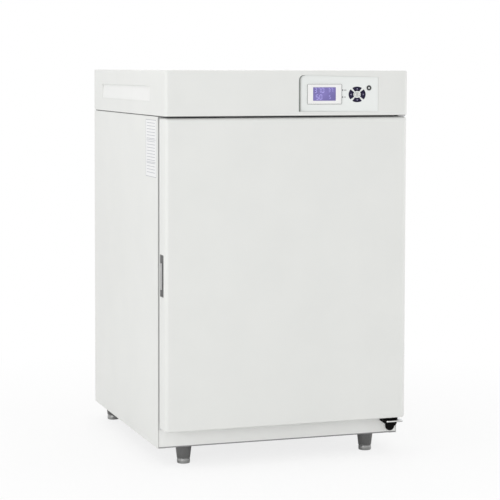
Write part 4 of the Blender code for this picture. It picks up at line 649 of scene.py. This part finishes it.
# %% The panel's tilted frame and the recess
PANEL_ORIGIN = Vector((0.0235, -0.3235, 0.811))
RECESS_WIDTH, DEEP_END, SHALLOW_END = 0.196, 0.0075, 0.0018
PANEL_TILT = math.atan((DEEP_END - SHALLOW_END) / RECESS_WIDTH)
panel_place = Matrix.Translation(PANEL_ORIGIN) @ Matrix.Rotation(-PANEL_TILT, 4, "Z")
PANEL_RUN, PANEL_HEIGHT = RECESS_WIDTH / math.cos(PANEL_TILT), 0.0835
PANEL_FALL, PANEL_CORNER = 0.0045, 0.012


def upper_left(left, top, corner, turn):
    """The large round corner between a left and a top edge, at the angles of an array."""
    return np.stack([left + corner * (1 + np.cos(turn)), top - corner * (1 - np.sin(turn))], axis=1)


BACKING_LOW, BACKING_HIGH = (0.0195, head_low.y + 0.0010, 0.807), (0.2235, -0.3185, 0.8975)
boolean(head, block("backing", BACKING_LOW, BACKING_HIGH), operation="UNION")
straight = [[0.0, 0.0], [PANEL_RUN, 0.0], [PANEL_RUN, PANEL_HEIGHT - PANEL_FALL]]
corner = upper_left(0.0, PANEL_HEIGHT, PANEL_CORNER, np.linspace(np.pi / 2, np.pi, 11))
boolean(head, prism("recess", np.concatenate([straight, corner]), -0.030, 0.0, panel_place))
print("recess depth at left:", round(PANEL_ORIGIN.y - head_low.y, 4))

# %% [markdown]
# Each side of the head has a long scoop for the fingers, pressed like a wedge: deepest under its upper
# edge and running out to nothing at its lower edge. It is cut the same way, as a prism along Y.


# %% The two finger scoops
def wedge(name, side, section, front, rear):
    """A prism along a side wall, from a section of (depth into the wall, height) pairs."""
    return prism(name, [(side * (head_high.x - depth), z) for depth, z in section], front, rear)


SCOOP = ((-0.01, 0.834), (0.0006, 0.834), (0.0056, 0.869), (-0.01, 0.869))
SCOOP_FRONT, SCOOP_REAR, PAD_MARGIN, PLATE_GAP = -0.2065, 0.2445, 0.003, 0.0003
for side in (-1, 1):
    inner, outer = side * (head_high.x - 0.008), side * (head_high.x - 0.001)
    pad_low = (min(inner, outer), SCOOP_FRONT - PAD_MARGIN, SCOOP[0][1] - PAD_MARGIN)
    pad_high = (max(inner, outer), SCOOP_REAR + PAD_MARGIN, SCOOP[2][1] + PAD_MARGIN)
    boolean(head, block("pad", pad_low, pad_high), operation="UNION")
    boolean(head, wedge("scoop", side, SCOOP, SCOOP_FRONT, SCOOP_REAR))
print("head faces:", len(head.data.polygons))

# %% [markdown]
# A plate lines each scoop, lighter than the cover as painted light, where the wedge faces up into the light.
# It is thinner at the lower edge, so that it ends flush with the wall.

# %% Plates in the scoops, lighter as painted light
PLATE = ((0.0010, 0.8344), (0.0003, 0.8344), (0.0036, 0.8688), (0.0060, 0.8688))
for side, name in ((-1, "left"), (1, "right")):
    plate = wedge("scoop_lit_plate_" + name, side, PLATE, SCOOP_FRONT + PLATE_GAP, SCOOP_REAR - PLATE_GAP)
    dress(plate, scoop_painted_light, "cabinet")
print("plate box:", size_of(plate))

# %% [markdown]
# The display, the keys and the light pipe come through the recess floor. Their holes are simple prisms in
# the panel's frame, each a little larger than its piece.

# %% Holes in the recess floor
KEYS_AT, KEYS_HALF = (0.1440, 0.0390), (0.0208, 0.0178)
POWER_AT, POWER_RADIUS = (0.1731, 0.0540), 0.0058
DISPLAY_AT, DISPLAY_HALF = (0.0636, 0.0410), (0.0281, 0.01575)
LIGHTS_AT = ((0.1079, 0.0330), (0.1079, 0.0490))


def ellipse(centre, half_width, half_height, steps=48):
    """Points on an ellipse: x = a cos t, z = b sin t."""
    turn = np.linspace(0.0, 2 * np.pi, steps, endpoint=False)
    return np.stack([centre[0] + half_width * np.cos(turn), centre[1] + half_height * np.sin(turn)], axis=1)


FRONT_OF_FLOOR, THROUGH, KEY_DEPTH = -0.010, 0.030, 0.0016
DISPLAY_GAP, KEYS_GAP, POWER_GAP, LIGHT_HOLE = 0.0033, 0.002, 0.001, 0.0018
window = soft_corners(
    DISPLAY_AT[0] - DISPLAY_HALF[0] - DISPLAY_GAP, DISPLAY_AT[1] - DISPLAY_HALF[1] - DISPLAY_GAP,
    DISPLAY_AT[0] + DISPLAY_HALF[0] + DISPLAY_GAP, DISPLAY_AT[1] + DISPLAY_HALF[1] + DISPLAY_GAP, 0.001, 3,
)
keys_outline = ellipse(KEYS_AT, KEYS_HALF[0] + KEYS_GAP, KEYS_HALF[1] + KEYS_GAP)
power_outline = ellipse(POWER_AT, POWER_RADIUS + POWER_GAP, POWER_RADIUS + POWER_GAP)
holes = [(window, THROUGH), (keys_outline, KEY_DEPTH), (power_outline, KEY_DEPTH)]
holes += [(ellipse(at, LIGHT_HOLE, LIGHT_HOLE, 20), THROUGH) for at in LIGHTS_AT]
boolean(head, *[prism("hole", outline, FRONT_OF_FLOOR, depth, panel_place) for outline, depth in holes])
smoothed(head.data)
dress(head, powder_coat, "cabinet", "head_shell")
print("head faces:", len(head.data.polygons))

# %% [markdown]
# ## Display, keys and lights
# The bezel is a white moulded frame round the window, with a step down to the glass. Its window lies off
# centre, so one inset for all sides would not do. Each loop of the frame stands at a share of the way from
# the outer rectangle to the window: corner = outer + share (window - outer), with its own height.


# %% Bezel
def panel_local(node):
    """A node's corners in the panel's own frame."""
    points = np.array([v.co for v in nodes[node].data.vertices])
    back = np.array(panel_place.inverted())
    local = points @ back[:3, :3].T + back[:3, 3]
    return local.min(0), local.max(0)


def stepped_frame(name, outer, window, section, radius):
    """Loops between two (left, low, right, high) rectangles at each (share, height) of a section."""
    outer, window = np.array(outer), np.array(window)
    loops = [
        soft_corners(*(outer + share * (window - outer)), max(radius * (1 - share), 0.0008), 6)
        for share, _ in section
    ]
    return layered(name, loops, [y for _, y in section], panel_place, wrap_rows=True)


bezel_low, bezel_high = panel_local("display_bezel")
face_y, back_y = bezel_low[1], bezel_high[1]
bezel_edges = (bezel_low[0], bezel_low[2], bezel_high[0], bezel_high[2])
window_edges = (0.0364, 0.0247, 0.0917, 0.0556)
section = [(0.0, back_y), (0.0, face_y + 0.0006), (0.02, face_y + 0.0002), (0.07, face_y)]
section += [(0.74, face_y), (0.82, face_y + 0.0002), (0.95, face_y + 0.0007), (1.0, back_y)]
bezel = stepped_frame("bezel", bezel_edges, window_edges, section, 0.0028)
dress(bezel, bezel_white, "cabinet", "display_bezel")
print("bezel window:", [round(v, 4) for v in window_edges])

# %% [markdown]
# The film laps over the bezel's outer margin, unevenly, and a grey line runs where it ends: painted shade,
# standing for the groove round the bezel. The line is a flat ring a tenth of a millimetre high, and so are
# the two short bars that mark the lights, which are print: ink made as thin solids, which stay sharp at any
# distance, where a pattern in the material would need a mask for every mark.

# %% Ink on the film, and a painted shade ring round the bezel
film_front = panel_local("control_panel")[0][1]
ink = (film_front - 0.00012, film_front + 0.00002)


def grown(edges, by):
    """A rectangle with its four edges moved outwards."""
    left, low, right, high = edges
    return left - by, low - by, right + by, high + by


def flat_ring(name, outer, inner, front, back, radius):
    """A frame with flat faces between two rectangles."""
    return stepped_frame(name, outer, inner, [(0.0, back), (0.0, front), (1.0, front), (1.0, back)], radius)


face_edges = (0.0223, 0.0171, 0.1056, 0.0626)
lap = flat_ring("film_lap", grown(bezel_edges, 0.0004), face_edges, face_y - 0.00008, face_y + 0.0008, 0.0030)
dress(lap, film, "cabinet")
# The ring round the bezel is painted shade, standing for the groove at the film's edge.
line_edges = (grown(face_edges, 0.0005), grown(face_edges, -0.0003))
bezel_groove_shade = flat_ring("bezel_groove_shade", *line_edges, face_y - 0.00016, face_y + 0.0002, 0.0022)
dress(bezel_groove_shade, print_and_groove_shade, "cabinet")
marks = []
for (x, z), length in zip(LIGHTS_AT, (0.0052, 0.0070)):
    bar = soft_corners(x + 0.0032, z - 0.0006, x + 0.0032 + length, z + 0.0006, 0.0005, 4)
    marks.append(prism("mark", bar, *ink, panel_place))
light_marks = merged("light_marks", *marks)
dress(light_marks, print_and_groove_shade, "cabinet")
print("ink height:", round(ink[1] - ink[0], 5))

# %% [markdown]
# Between the recess's left wall and the film lies a dark strip, tall at the wall and low at the film: painted
# shade, standing for the shadow along the deep left wall of the recess.
# It goes up the left wall and ends just past the round corner. Two paths with equally many points bound it,
# and a section that falls in a soft curve joins them.

# %% Painted shade strip beside the film
STRIP_FOOT, STRIP_END = 0.0006, 0.0150


def strip_edge(left, gap, corner):
    """From the lower left corner upwards, round a quarter circle, and a little along the upper edge."""
    top = PANEL_HEIGHT - gap
    arc = upper_left(left, top, corner, np.linspace(np.pi, np.pi / 2, 13))
    rise = np.stack([np.full(12, left), np.linspace(STRIP_FOOT, top - corner, 13)[:-1]], axis=1)
    along = np.stack([np.linspace(left + corner, STRIP_END, 5)[1:], np.full(4, top)], axis=1)
    along[:, 1] -= PANEL_FALL * (along[:, 0] - left - corner) / (PANEL_RUN - left - corner)
    return np.concatenate([rise, arc, along])


outer_edge = strip_edge(0.0002, 0.0002, PANEL_CORNER)
inner_edge = strip_edge(0.0053, 0.0012, PANEL_CORNER - 0.0028)
STRIP_SECTION = (
    (0.0, 0.00005), (0.0, -0.0063), (0.07, -0.0069), (0.2, -0.0066),
    (0.45, -0.0045), (0.8, -0.0018), (1.0, -0.0008), (1.0, 0.00005),
)
strip_rows = []
for share, y in STRIP_SECTION:
    edge = outer_edge + share * (inner_edge - outer_edge)
    strip_rows.append(np.column_stack([edge[:, 0], np.full(len(edge), y), edge[:, 1]]))
shade_strip = surface("shade_strip", np.stack(strip_rows, axis=1), wrap_columns=True, caps=(0, -1))
shade_strip.data.transform(panel_place)
dress(shade_strip, panel_painted_shade, "cabinet")
print("seal strip points:", len(shade_strip.data.vertices))

# %% [markdown]
# The keys are four arcs of an elliptic ring round a small centre key. Each arc is a sheet of points over
# angle and radius share, whose height falls off towards every edge as a sixth-power dome, so that its
# rim catches a fine line of light.


# %% Arc keys
INNER_SHARE, RIM_DROP = 0.46, 0.00035


def dome_height(u, v):
    """1 in the middle of a unit square and 0 at its edges: (1 - |2u-1|^6)(1 - |2v-1|^6)."""
    return (1 - np.abs(2 * u - 1) ** 6.0) * (1 - np.abs(2 * v - 1) ** 6.0)


def arc_key(name, middle, spread, front, back):
    """A domed arc key: the top is a grid over angle and share, and its rim drops straight to the back."""
    u, v = np.meshgrid(np.linspace(0, 1, 25), np.linspace(0, 1, 13), indexing="ij")
    angle = middle + (2 * u - 1) * math.radians(spread)
    radial = INNER_SHARE + (1 - INNER_SHARE) * v
    x = KEYS_AT[0] + KEYS_HALF[0] * radial * np.cos(angle)
    z = KEYS_AT[1] + KEYS_HALF[1] * radial * np.sin(angle)
    y = front + RIM_DROP * (1 - dome_height(u, v))
    top = np.stack([x, y, z], axis=-1)
    ring = np.concatenate([top[:-1, 0], top[-1, :-1], top[:0:-1, -1], top[0, :0:-1]])
    floor = ring.copy()
    floor[:, 1] = back
    piece = surface(name, top)
    wall = surface(name + "_wall", np.stack([ring, floor]), wrap_columns=True, caps=(-1,))
    whole = merged(name, piece, wall)
    outward(whole.data, 1e-5)
    whole.data.transform(panel_place)
    return whole


ARROW = 0.0017
for direction, turn, spread in (("right", 0, 39), ("up", 1, 33), ("left", 2, 39), ("down", 3, 33)):
    low, high = panel_local("key_" + direction)
    key = arc_key("arc_key_" + direction, turn * np.pi / 2, spread, low[1], high[1])
    dress(key, key_rubber, direction + "_key", "key_" + direction)
    way = np.array([math.cos(turn * np.pi / 2), math.sin(turn * np.pi / 2)])
    middle = np.array(KEYS_AT) + way * np.array(KEYS_HALF) * 0.73
    across = np.array([-way[1], way[0]])
    corners = middle + ARROW * np.stack([way, 1.3 * across - 0.8 * way, -1.3 * across - 0.8 * way])
    arrow = prism("arrow_" + direction, corners, low[1] - 0.00008, low[1] + 0.00006, panel_place)
    dress(arrow, key_print, direction + "_key")
print("arc key points:", len(key.data.vertices))

# %% [markdown]
# The centre key is an ellipse and the power key is round. Both are stacks of ellipses that shrink towards
# the middle: a shallow dish with a raised rim, which reads as a ring in the photograph. The centre key
# carries a plain mark of three bars.


# %% Round keys
def round_key(name, centre, half_width, half_height, front, back, dish):
    """A dished key on an ellipse: share runs from the rim to the centre, and the dish is a cosine."""
    share = np.array([1.0, 1.0, 0.985, 0.95, 0.86, 0.74, 0.62, 0.45, 0.25, 0.02])
    depth = np.array([back, front + 0.0003, front + 0.0001, front, front + 0.0001])
    inner = front + 0.0001 + dish * (0.5 + 0.5 * np.cos(np.linspace(np.pi, 0, 5)))
    depth = np.concatenate([depth, inner])
    loops = [ellipse(centre, half_width * s, half_height * s) for s in share]
    return layered(name, loops, depth, panel_place, caps=(0, -1))


low, high = panel_local("key_centre")
centre_key = round_key(
    "centre_key_top", KEYS_AT, (high[0] - low[0]) / 2, (high[2] - low[2]) / 2, low[1], high[1], 0.0003
)
dress(centre_key, white_plastic, "centre_key", "key_centre")

RING_INSET, RING_WIDTH = 0.0003, 0.0006
centre_half = ((high[0] - low[0]) / 2 - RING_INSET, (high[2] - low[2]) / 2 - RING_INSET)
outer = ellipse(KEYS_AT, *centre_half)
inner = ellipse(KEYS_AT, *(half - RING_WIDTH for half in centre_half))
front, back = low[1] - 0.0001, low[1] + 0.0004
centre_ring = layered(
    "centre_ring", [outer, outer, inner, inner], (back, front, front, back), panel_place, wrap_rows=True
)
dress(centre_ring, grey_print, "centre_key")
BAR_HALF, BAR_PITCH = (0.0027, 0.00045), 0.0021
bar = np.array([[-1, -1], [1, -1], [1, 1], [-1, 1]]) * BAR_HALF
centre_mark = merged("centre_mark", *[
    prism("bar", bar + (KEYS_AT[0], KEYS_AT[1] + lift), low[1] + 0.00005, low[1] + 0.0006, panel_place)
    for lift in (-BAR_PITCH, 0.0, BAR_PITCH)
])
dress(centre_mark, grey_print, "centre_key")
low, high = panel_local("key_power")
power_key = round_key("power_key_top", POWER_AT, POWER_RADIUS, POWER_RADIUS, low[1], high[1], 0.0007)
dress(power_key, power_grey, "power_key", "key_power")
SPOT_RADIUS = 0.0021
spot = ellipse(POWER_AT, SPOT_RADIUS, SPOT_RADIUS, 24)
power_spot = prism("power_spot", spot, low[1] + 0.0002, low[1] + 0.0008, panel_place)
dress(power_spot, frame_plastic, "power_key")
print("round keys ready")

# %% [markdown]
# Two rows of figures glow on the display: a temperature and a gas share. They are plain seven-segment
# figures, the most generic numerals there are. Each segment is a flat hexagonal bar: one array of corners,
# turned upright where it has to be and moved to its place.

# %% Seven-segment figures
SEGMENTS = {"0": "abcdef", "3": "abgcd", "5": "afgcd", "7": "abc"}
BAR_AT = {
    "a": (0.5, 2.0, 0), "b": (1.0, 1.5, 1), "c": (1.0, 0.5, 1), "d": (0.5, 0.0, 0),
    "e": (0.0, 0.5, 1), "f": (0.0, 1.5, 1), "g": (0.5, 1.0, 0),
}


def bars(text, left, low, size, pitch):
    """Corner arrays of all the bars of a line of figures. A point is one short bar low on the line."""
    long_half, thick = size * 0.44, size * 0.11
    shape = np.array([
        [-long_half, 0], [-long_half + thick, -thick], [long_half - thick, -thick],
        [long_half, 0], [long_half - thick, thick], [-long_half + thick, thick],
    ])
    found, x = [], left
    for sign in text:
        if sign == ".":
            found.append(shape * np.array([0.28, 1.0]) + np.array([x - pitch * 0.22, low]))
            continue
        for bar in SEGMENTS[sign]:
            across, up, upright = BAR_AT[bar]
            drawn = shape[:, ::-1] if upright else shape
            found.append(drawn + np.array([x + across * size, low + up * size]))
        x += pitch
    return found


pane = panel_local("display_lcd")[0][1]
left, middle = DISPLAY_AT[0] - DISPLAY_HALF[0], DISPLAY_AT[1]
LARGE, SMALL = (0.0052, 0.0088), (0.0038, 0.0068)
rows_of_figures = bars("37.0", left + 0.0045, middle + 0.0024, *LARGE)
rows_of_figures += bars("37", left + 0.0385, middle + 0.0040, *SMALL)
rows_of_figures += bars("5.0", left + 0.0085, middle - 0.0130, *LARGE)
rows_of_figures += bars("5", left + 0.0400, middle - 0.0115, *SMALL)
figures = merged("figures", *[prism("bar", bar, pane - 0.00018, pane - 0.00006) for bar in rows_of_figures])
figures.data.transform(panel_place)
dress(figures, digit_light, "cabinet")
print("bars:", len(rows_of_figures))

# %% [markdown]
# ## Feet
# Each foot is a turned part: a hard rubber cone under the base, a groove, and a steel ring that bears on the
# bench. Turning is a revolution of a profile, x = r(h) cos t and y = r(h) sin t, and the two profiles below
# meet in the groove. Their rims are small quarter circles, which a bevel of the solid would only facet.


# %% Turned feet
def quarter(radius, height, size, start, steps=6):
    """(r, h) points on a quarter circle of a size, from a start angle, with its corner at radius, height."""
    turn = np.linspace(start, start - np.pi / 2, steps)
    centre = (radius - size, height - size if start > 1 else height + size)
    return [(centre[0] + size * math.cos(t), centre[1] + size * math.sin(t)) for t in turn]


def cone_profile(top_radius, radius, seat, groove):
    """From the seat under the base down to the groove: a short collar, then a straight taper."""
    collar = quarter(top_radius, seat, 0.0008, np.pi / 2)
    rim = quarter(radius + 0.0004, groove + 0.0010, 0.0006, 0.0)
    return [(0.0, seat), *collar, (top_radius, seat - 0.0040), *rim, (0.0, groove + 0.0010)]


def ring_profile(radius, groove):
    """The steel ring: a neck up into the cone, a rounded upper rim, a plain side and a rounded base."""
    neck = [(0.0, groove + 0.0012), (radius - 0.0010, groove + 0.0012), (radius - 0.0010, groove)]
    rim = quarter(radius, groove - 0.0006, 0.0005, np.pi / 2)
    base = quarter(radius, 0.0, 0.0014, 0.0)
    return [*neck, *rim, *base, (0.0, 0.0)]


COLLAR_RADIUS, FOOT_RADIUS, FOOT_SEAT, FOOT_GROOVE = 0.0186, 0.0150, 0.0432, 0.0112
for body in ("front_left", "front_right", "rear_left", "rear_right"):
    low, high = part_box("foot_" + body)
    centre = ((low.x + high.x) / 2, (low.y + high.y) / 2, 0.0)
    cone_outline = cone_profile(COLLAR_RADIUS, FOOT_RADIUS, FOOT_SEAT, FOOT_GROOVE)
    cone = turned(f"foot_cone_{body}", cone_outline, centre)
    ring = turned(f"foot_ring_{body}", ring_profile(FOOT_RADIUS, FOOT_GROOVE), centre)
    tip = [(0.0, high.z), (0.0034, high.z), (0.0040, high.z - 0.0006), (0.0040, 0.0425), (0.0, 0.0425)]
    stud = turned(f"stud_{body}", tip, centre, steps=32)
    dress(cone, foot_rubber, body + "_foot", "foot_" + body)
    dress(ring, foot_steel, body + "_foot")
    dress(stud, bright_steel, body + "_foot")
print("foot radius:", round(cone.dimensions.x / 2, 4))

# %% [markdown]
# ## The lower hinge bracket
# The bracket is black, but the rim of its arm and the arm's outer end are bare bright metal. Its bush is
# painted black as painted shade, for the shaded gap between the door and the arm. A band follows the arm's
# outline: a path in plan, offset outwards by its thickness, and closed into a loop. A thin plate covers the
# outer end, and a small ear stands up at the foot of the bracket.

# %% The bare rim of the arm
arm_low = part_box("lower_hinge_bracket")[0]
ARM_SIDE, RIM_REAR, ARM_REAR = pin_x + 0.0195, -0.284, -0.2762
bend = np.linspace(-np.pi / 2, 0.0, 9)
elbow = np.stack([pin_x + 0.0125 + 0.007 * np.cos(bend), pin_y - 0.008 + 0.007 * np.sin(bend)], axis=1)
rim_path = np.concatenate([
    [[arm_low.x - 0.0006, arm_low.y + 0.0022], [arm_low.x + 0.0018, arm_low.y - 0.00002]],
    elbow,
    [[ARM_SIDE, RIM_REAR]],
])
step = np.gradient(rim_path, axis=0)
normal = np.stack([step[:, 1], -step[:, 0]], axis=1) / np.linalg.norm(step, axis=1, keepdims=True)
outer_path = rim_path + 0.0005 * normal
rim_low, rim_high = 0.0790, 0.0816 + 0.00012
rim_rows = [
    raised(rim_path, rim_low), raised(outer_path, rim_low),
    raised(outer_path, rim_high), raised(rim_path, rim_high),
]
arm_rim = surface("arm_rim", np.stack(rim_rows, axis=1), wrap_columns=True, caps=(0, -1))
end_outline = np.concatenate([
    [[pin_x + 0.0025, ARM_REAR], [pin_x + 0.0025, arm_low.y + 0.0001]],
    elbow,
    [[ARM_SIDE, ARM_REAR]],
])
END_LOW, END_HIGH = 0.08155, 0.08180
end_rows = np.stack([raised(end_outline, END_LOW), raised(end_outline, END_HIGH)])
arm_end = surface("arm_end", end_rows, wrap_columns=True, caps=(0, -1))
dress(arm_end, zinc, "cabinet")
EAR = (
    (0.2865, 0.0595), (0.2897, 0.0590), (0.2948, 0.0645),
    (0.2948, 0.0690), (0.2920, 0.0676), (0.2865, 0.0640),
)
ear = prism("bracket_ear", EAR, -0.2788, -0.2754)
dress(ear, black_coat_and_gap_shade, "cabinet")
dress(arm_rim, bare_edge, "cabinet")
# Painted shade: the lower bush gets the black coat, standing for the shaded gap between the door and the arm.
nodes["door_bush_lower"].data.materials[0] = black_coat_and_gap_shade
print("rim box:", size_of(arm_rim))

# %% [markdown]
# Along its lower edge the strip wears a narrow grey edging: painted shade, standing for the shadow at the
# strip's lower hem. Its section is a small U with round shoulders, and it is as long as the strip.

# %% Edging under the strip, as painted shade
strip_low, strip_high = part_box("base_strip")
LIP_WALL, LIP_HEIGHT, SHOULDER = 0.0004, 0.0027, 0.0007
front_y, low_z = strip_low.y - LIP_WALL, strip_low.z - LIP_WALL
lip = [(front_y, low_z + LIP_HEIGHT), (front_y, low_z + SHOULDER)]
for turn in np.linspace(0.0, np.pi / 2, 5)[1:]:
    lip.append((front_y + SHOULDER * (1 - math.cos(turn)), low_z + SHOULDER * (1 - math.sin(turn))))
lip += [(strip_low.y + 0.0012, low_z), (strip_low.y + 0.0012, low_z + LIP_HEIGHT)]
ends = (strip_low.x + 0.0002, strip_high.x - 0.0002)
lip_rows = [np.column_stack([np.full(len(lip), x), np.array(lip)]) for x in ends]
# Painted shade: a grey edging along the strip's lower edge for the shadow at its hem.
hem_shade = surface("strip_hem_shade", np.stack(lip_rows), wrap_columns=True, caps=(0, -1))
dress(hem_shade, seal_rubber, "cabinet")
print("edging:", size_of(hem_shade))

# %% [markdown]
# The rear panel and the rear cover are held by pan-head screws. One head is a turned profile, an arc of a
# sphere over a short cylinder, with a cross recess cut by two thin blocks. Its copies are placed by adding
# each place to one array of points, so all the heads become a single mesh.

# %% Rear screws
SCREW_RADIUS, SCREW_SIDE, SCREW_DOME = 0.0036, 0.0008, 0.0012
SLOT_LONG, SLOT_WIDE, SLOT_FLOOR, SLOT_TOP = 0.0017, 0.0003, 0.0012, 0.0030
profile = [(0.0, 0.0), (SCREW_RADIUS, 0.0), (SCREW_RADIUS, SCREW_SIDE)]
for cap in np.linspace(0.0, 1.0, 7)[1:] * np.pi / 2:
    profile.append((SCREW_RADIUS * math.cos(cap), SCREW_SIDE + SCREW_DOME * math.sin(cap)))
one = turned("screw", profile, (0.0, 0.0, 0.0), axis="Y", steps=24)
slots = [
    block("screw_slot", (-x, SLOT_FLOOR, -z), (x, SLOT_TOP, z))
    for x, z in ((SLOT_LONG, SLOT_WIDE), (SLOT_WIDE, SLOT_LONG))
]
boolean(one, *slots)
panel_back, cover_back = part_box("rear_panel")[1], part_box("head_rear_cover")[1]
places = [(x, panel_back.y, z) for x in (-0.283, 0.283) for z in (0.080, 0.315, 0.550, 0.775)]
places += [(x, panel_back.y, z) for x in (-0.095, 0.095) for z in (0.080, 0.775)]
places += [(x, cover_back.y, z) for x in (-0.28, -0.06, 0.28) for z in (0.812, 0.893)]
screws = merged("rear_screws", *[finished("copy", one.data.copy()) for _ in places])
count = len(one.data.vertices)
spots = np.array([v.co for v in screws.data.vertices]).reshape(len(places), count, 3)
spots = spots + np.array(places)[:, None, :]
screws.data.vertices.foreach_set("co", spots.ravel())
bpy.data.objects.remove(one, do_unlink=True)
dress(screws, bright_steel, "cabinet")
print("screws:", len(places))

# %% [markdown]
# ## The inner glass door
# The pane is float glass with a ground edge. Its outline is the same rounded rectangle as before, carried
# over a small chamfer on both faces.

# %% Glass pane
pane_low, pane_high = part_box("glass_pane")
PANE_EDGE, PANE_CORNER = 0.0008, 0.008
rim = ((PANE_EDGE, pane_high.y), (0.0, pane_high.y - PANE_EDGE))
rim += ((0.0, pane_low.y + PANE_EDGE), (PANE_EDGE, pane_low.y))
loops = [
    soft_corners(pane_low.x + d, pane_low.z + d, pane_high.x - d, pane_high.z - d, PANE_CORNER - d, 8)
    for d, _ in rim
]
pane_piece = layered("ground_glass_pane", loops, [y for _, y in rim], caps=(0, -1), angle=30.0)
dress(pane_piece, glass, "glass_door", "glass_pane")
print("pane:", size_of(pane_piece))

# %% [markdown]
# ## Studio
# A pale floor and a white surround light the object evenly, as in a catalogue. A large soft lamp from the
# left and the front keeps the rounded edges bright, and three weaker ones fill in from above, from the right
# and from behind. The world is seen as pure white by the camera, by reflections and through glass, while it
# lights the object at a lower level.

# %% Floor, lamps and surround
floor_mesh = bpy.data.meshes.new("floor")
floor_mesh.from_pydata([(-9, -9, 0), (9, -9, 0), (9, 9, 0), (-9, 9, 0)], [], [(0, 1, 2, 3)])
floor = bpy.data.objects.new("floor", floor_mesh)
bpy.context.scene.collection.objects.link(floor)

floor_look, tree, shader, place = network("pale_floor")
shader.inputs["Base Color"].default_value = (0.92, 0.92, 0.92, 1.0)
shader.inputs["Roughness"].default_value = 0.9
shader.inputs["Specular IOR Level"].default_value = 0.1
rays = tree.nodes.new("ShaderNodeLightPath")
clear = tree.nodes.new("ShaderNodeEmission")
distance = added(tree, "VectorMath", {0: place}, "LENGTH").outputs["Value"]
fade = added(tree, "MapRange", {"Value": distance, "From Min": 0.45, "From Max": 1.3, "To Min": 0.80})
seen = maths(tree, "MULTIPLY", fade.outputs["Result"], rays.outputs["Is Camera Ray"])
mixed = added(tree, "MixShader", {"Fac": seen, 1: shader.outputs["BSDF"], 2: clear.outputs["Emission"]})
tree.links.new(mixed.outputs["Shader"], tree.nodes["Material Output"].inputs["Surface"])
floor_mesh.materials.append(floor_look)

world = bpy.data.worlds.new("surround")
bpy.context.scene.world = world
world.use_nodes = True
sky = world.node_tree
background = sky.nodes["Background"]
background.inputs["Color"].default_value = (1.0, 1.0, 1.0, 1.0)
rays = sky.nodes.new("ShaderNodeLightPath")
mirrored = maths(sky, "MAXIMUM", rays.outputs["Is Camera Ray"], rays.outputs["Is Glossy Ray"])
through = maths(sky, "MAXIMUM", mirrored, rays.outputs["Is Transmission Ray"])
level_of = added(sky, "MapRange", {"Value": through, "To Min": 0.78, "To Max": 1.0})
sky.links.new(level_of.outputs["Result"], background.inputs["Strength"])


def softbox(name, at, aim, size, power):
    """A square lamp that faces the object's middle axis at a height."""
    lamp = bpy.data.lights.new(name, "AREA")
    lamp.shape, lamp.size, lamp.energy = "SQUARE", size, power
    holder = bpy.data.objects.new(name, lamp)
    holder.location = at
    holder.rotation_euler = (Vector((0, 0, aim)) - Vector(at)).to_track_quat("-Z", "Y").to_euler()
    bpy.context.scene.collection.objects.link(holder)


softbox("key_softbox", (-3.3, -3.1, 0.85), 0.40, 1.5, 36.0)
softbox("top_softbox", (-2.1, -0.5, 3.6), 0.45, 1.8, 16.0)
softbox("right_softbox", (4.0, -1.1, 0.9), 0.35, 1.4, 25.0)
softbox("rear_softbox", (1.6, 3.9, 2.4), 0.45, 2.4, 18.0)

bpy.context.scene.view_settings.view_transform = "Standard"
print("studio ready")
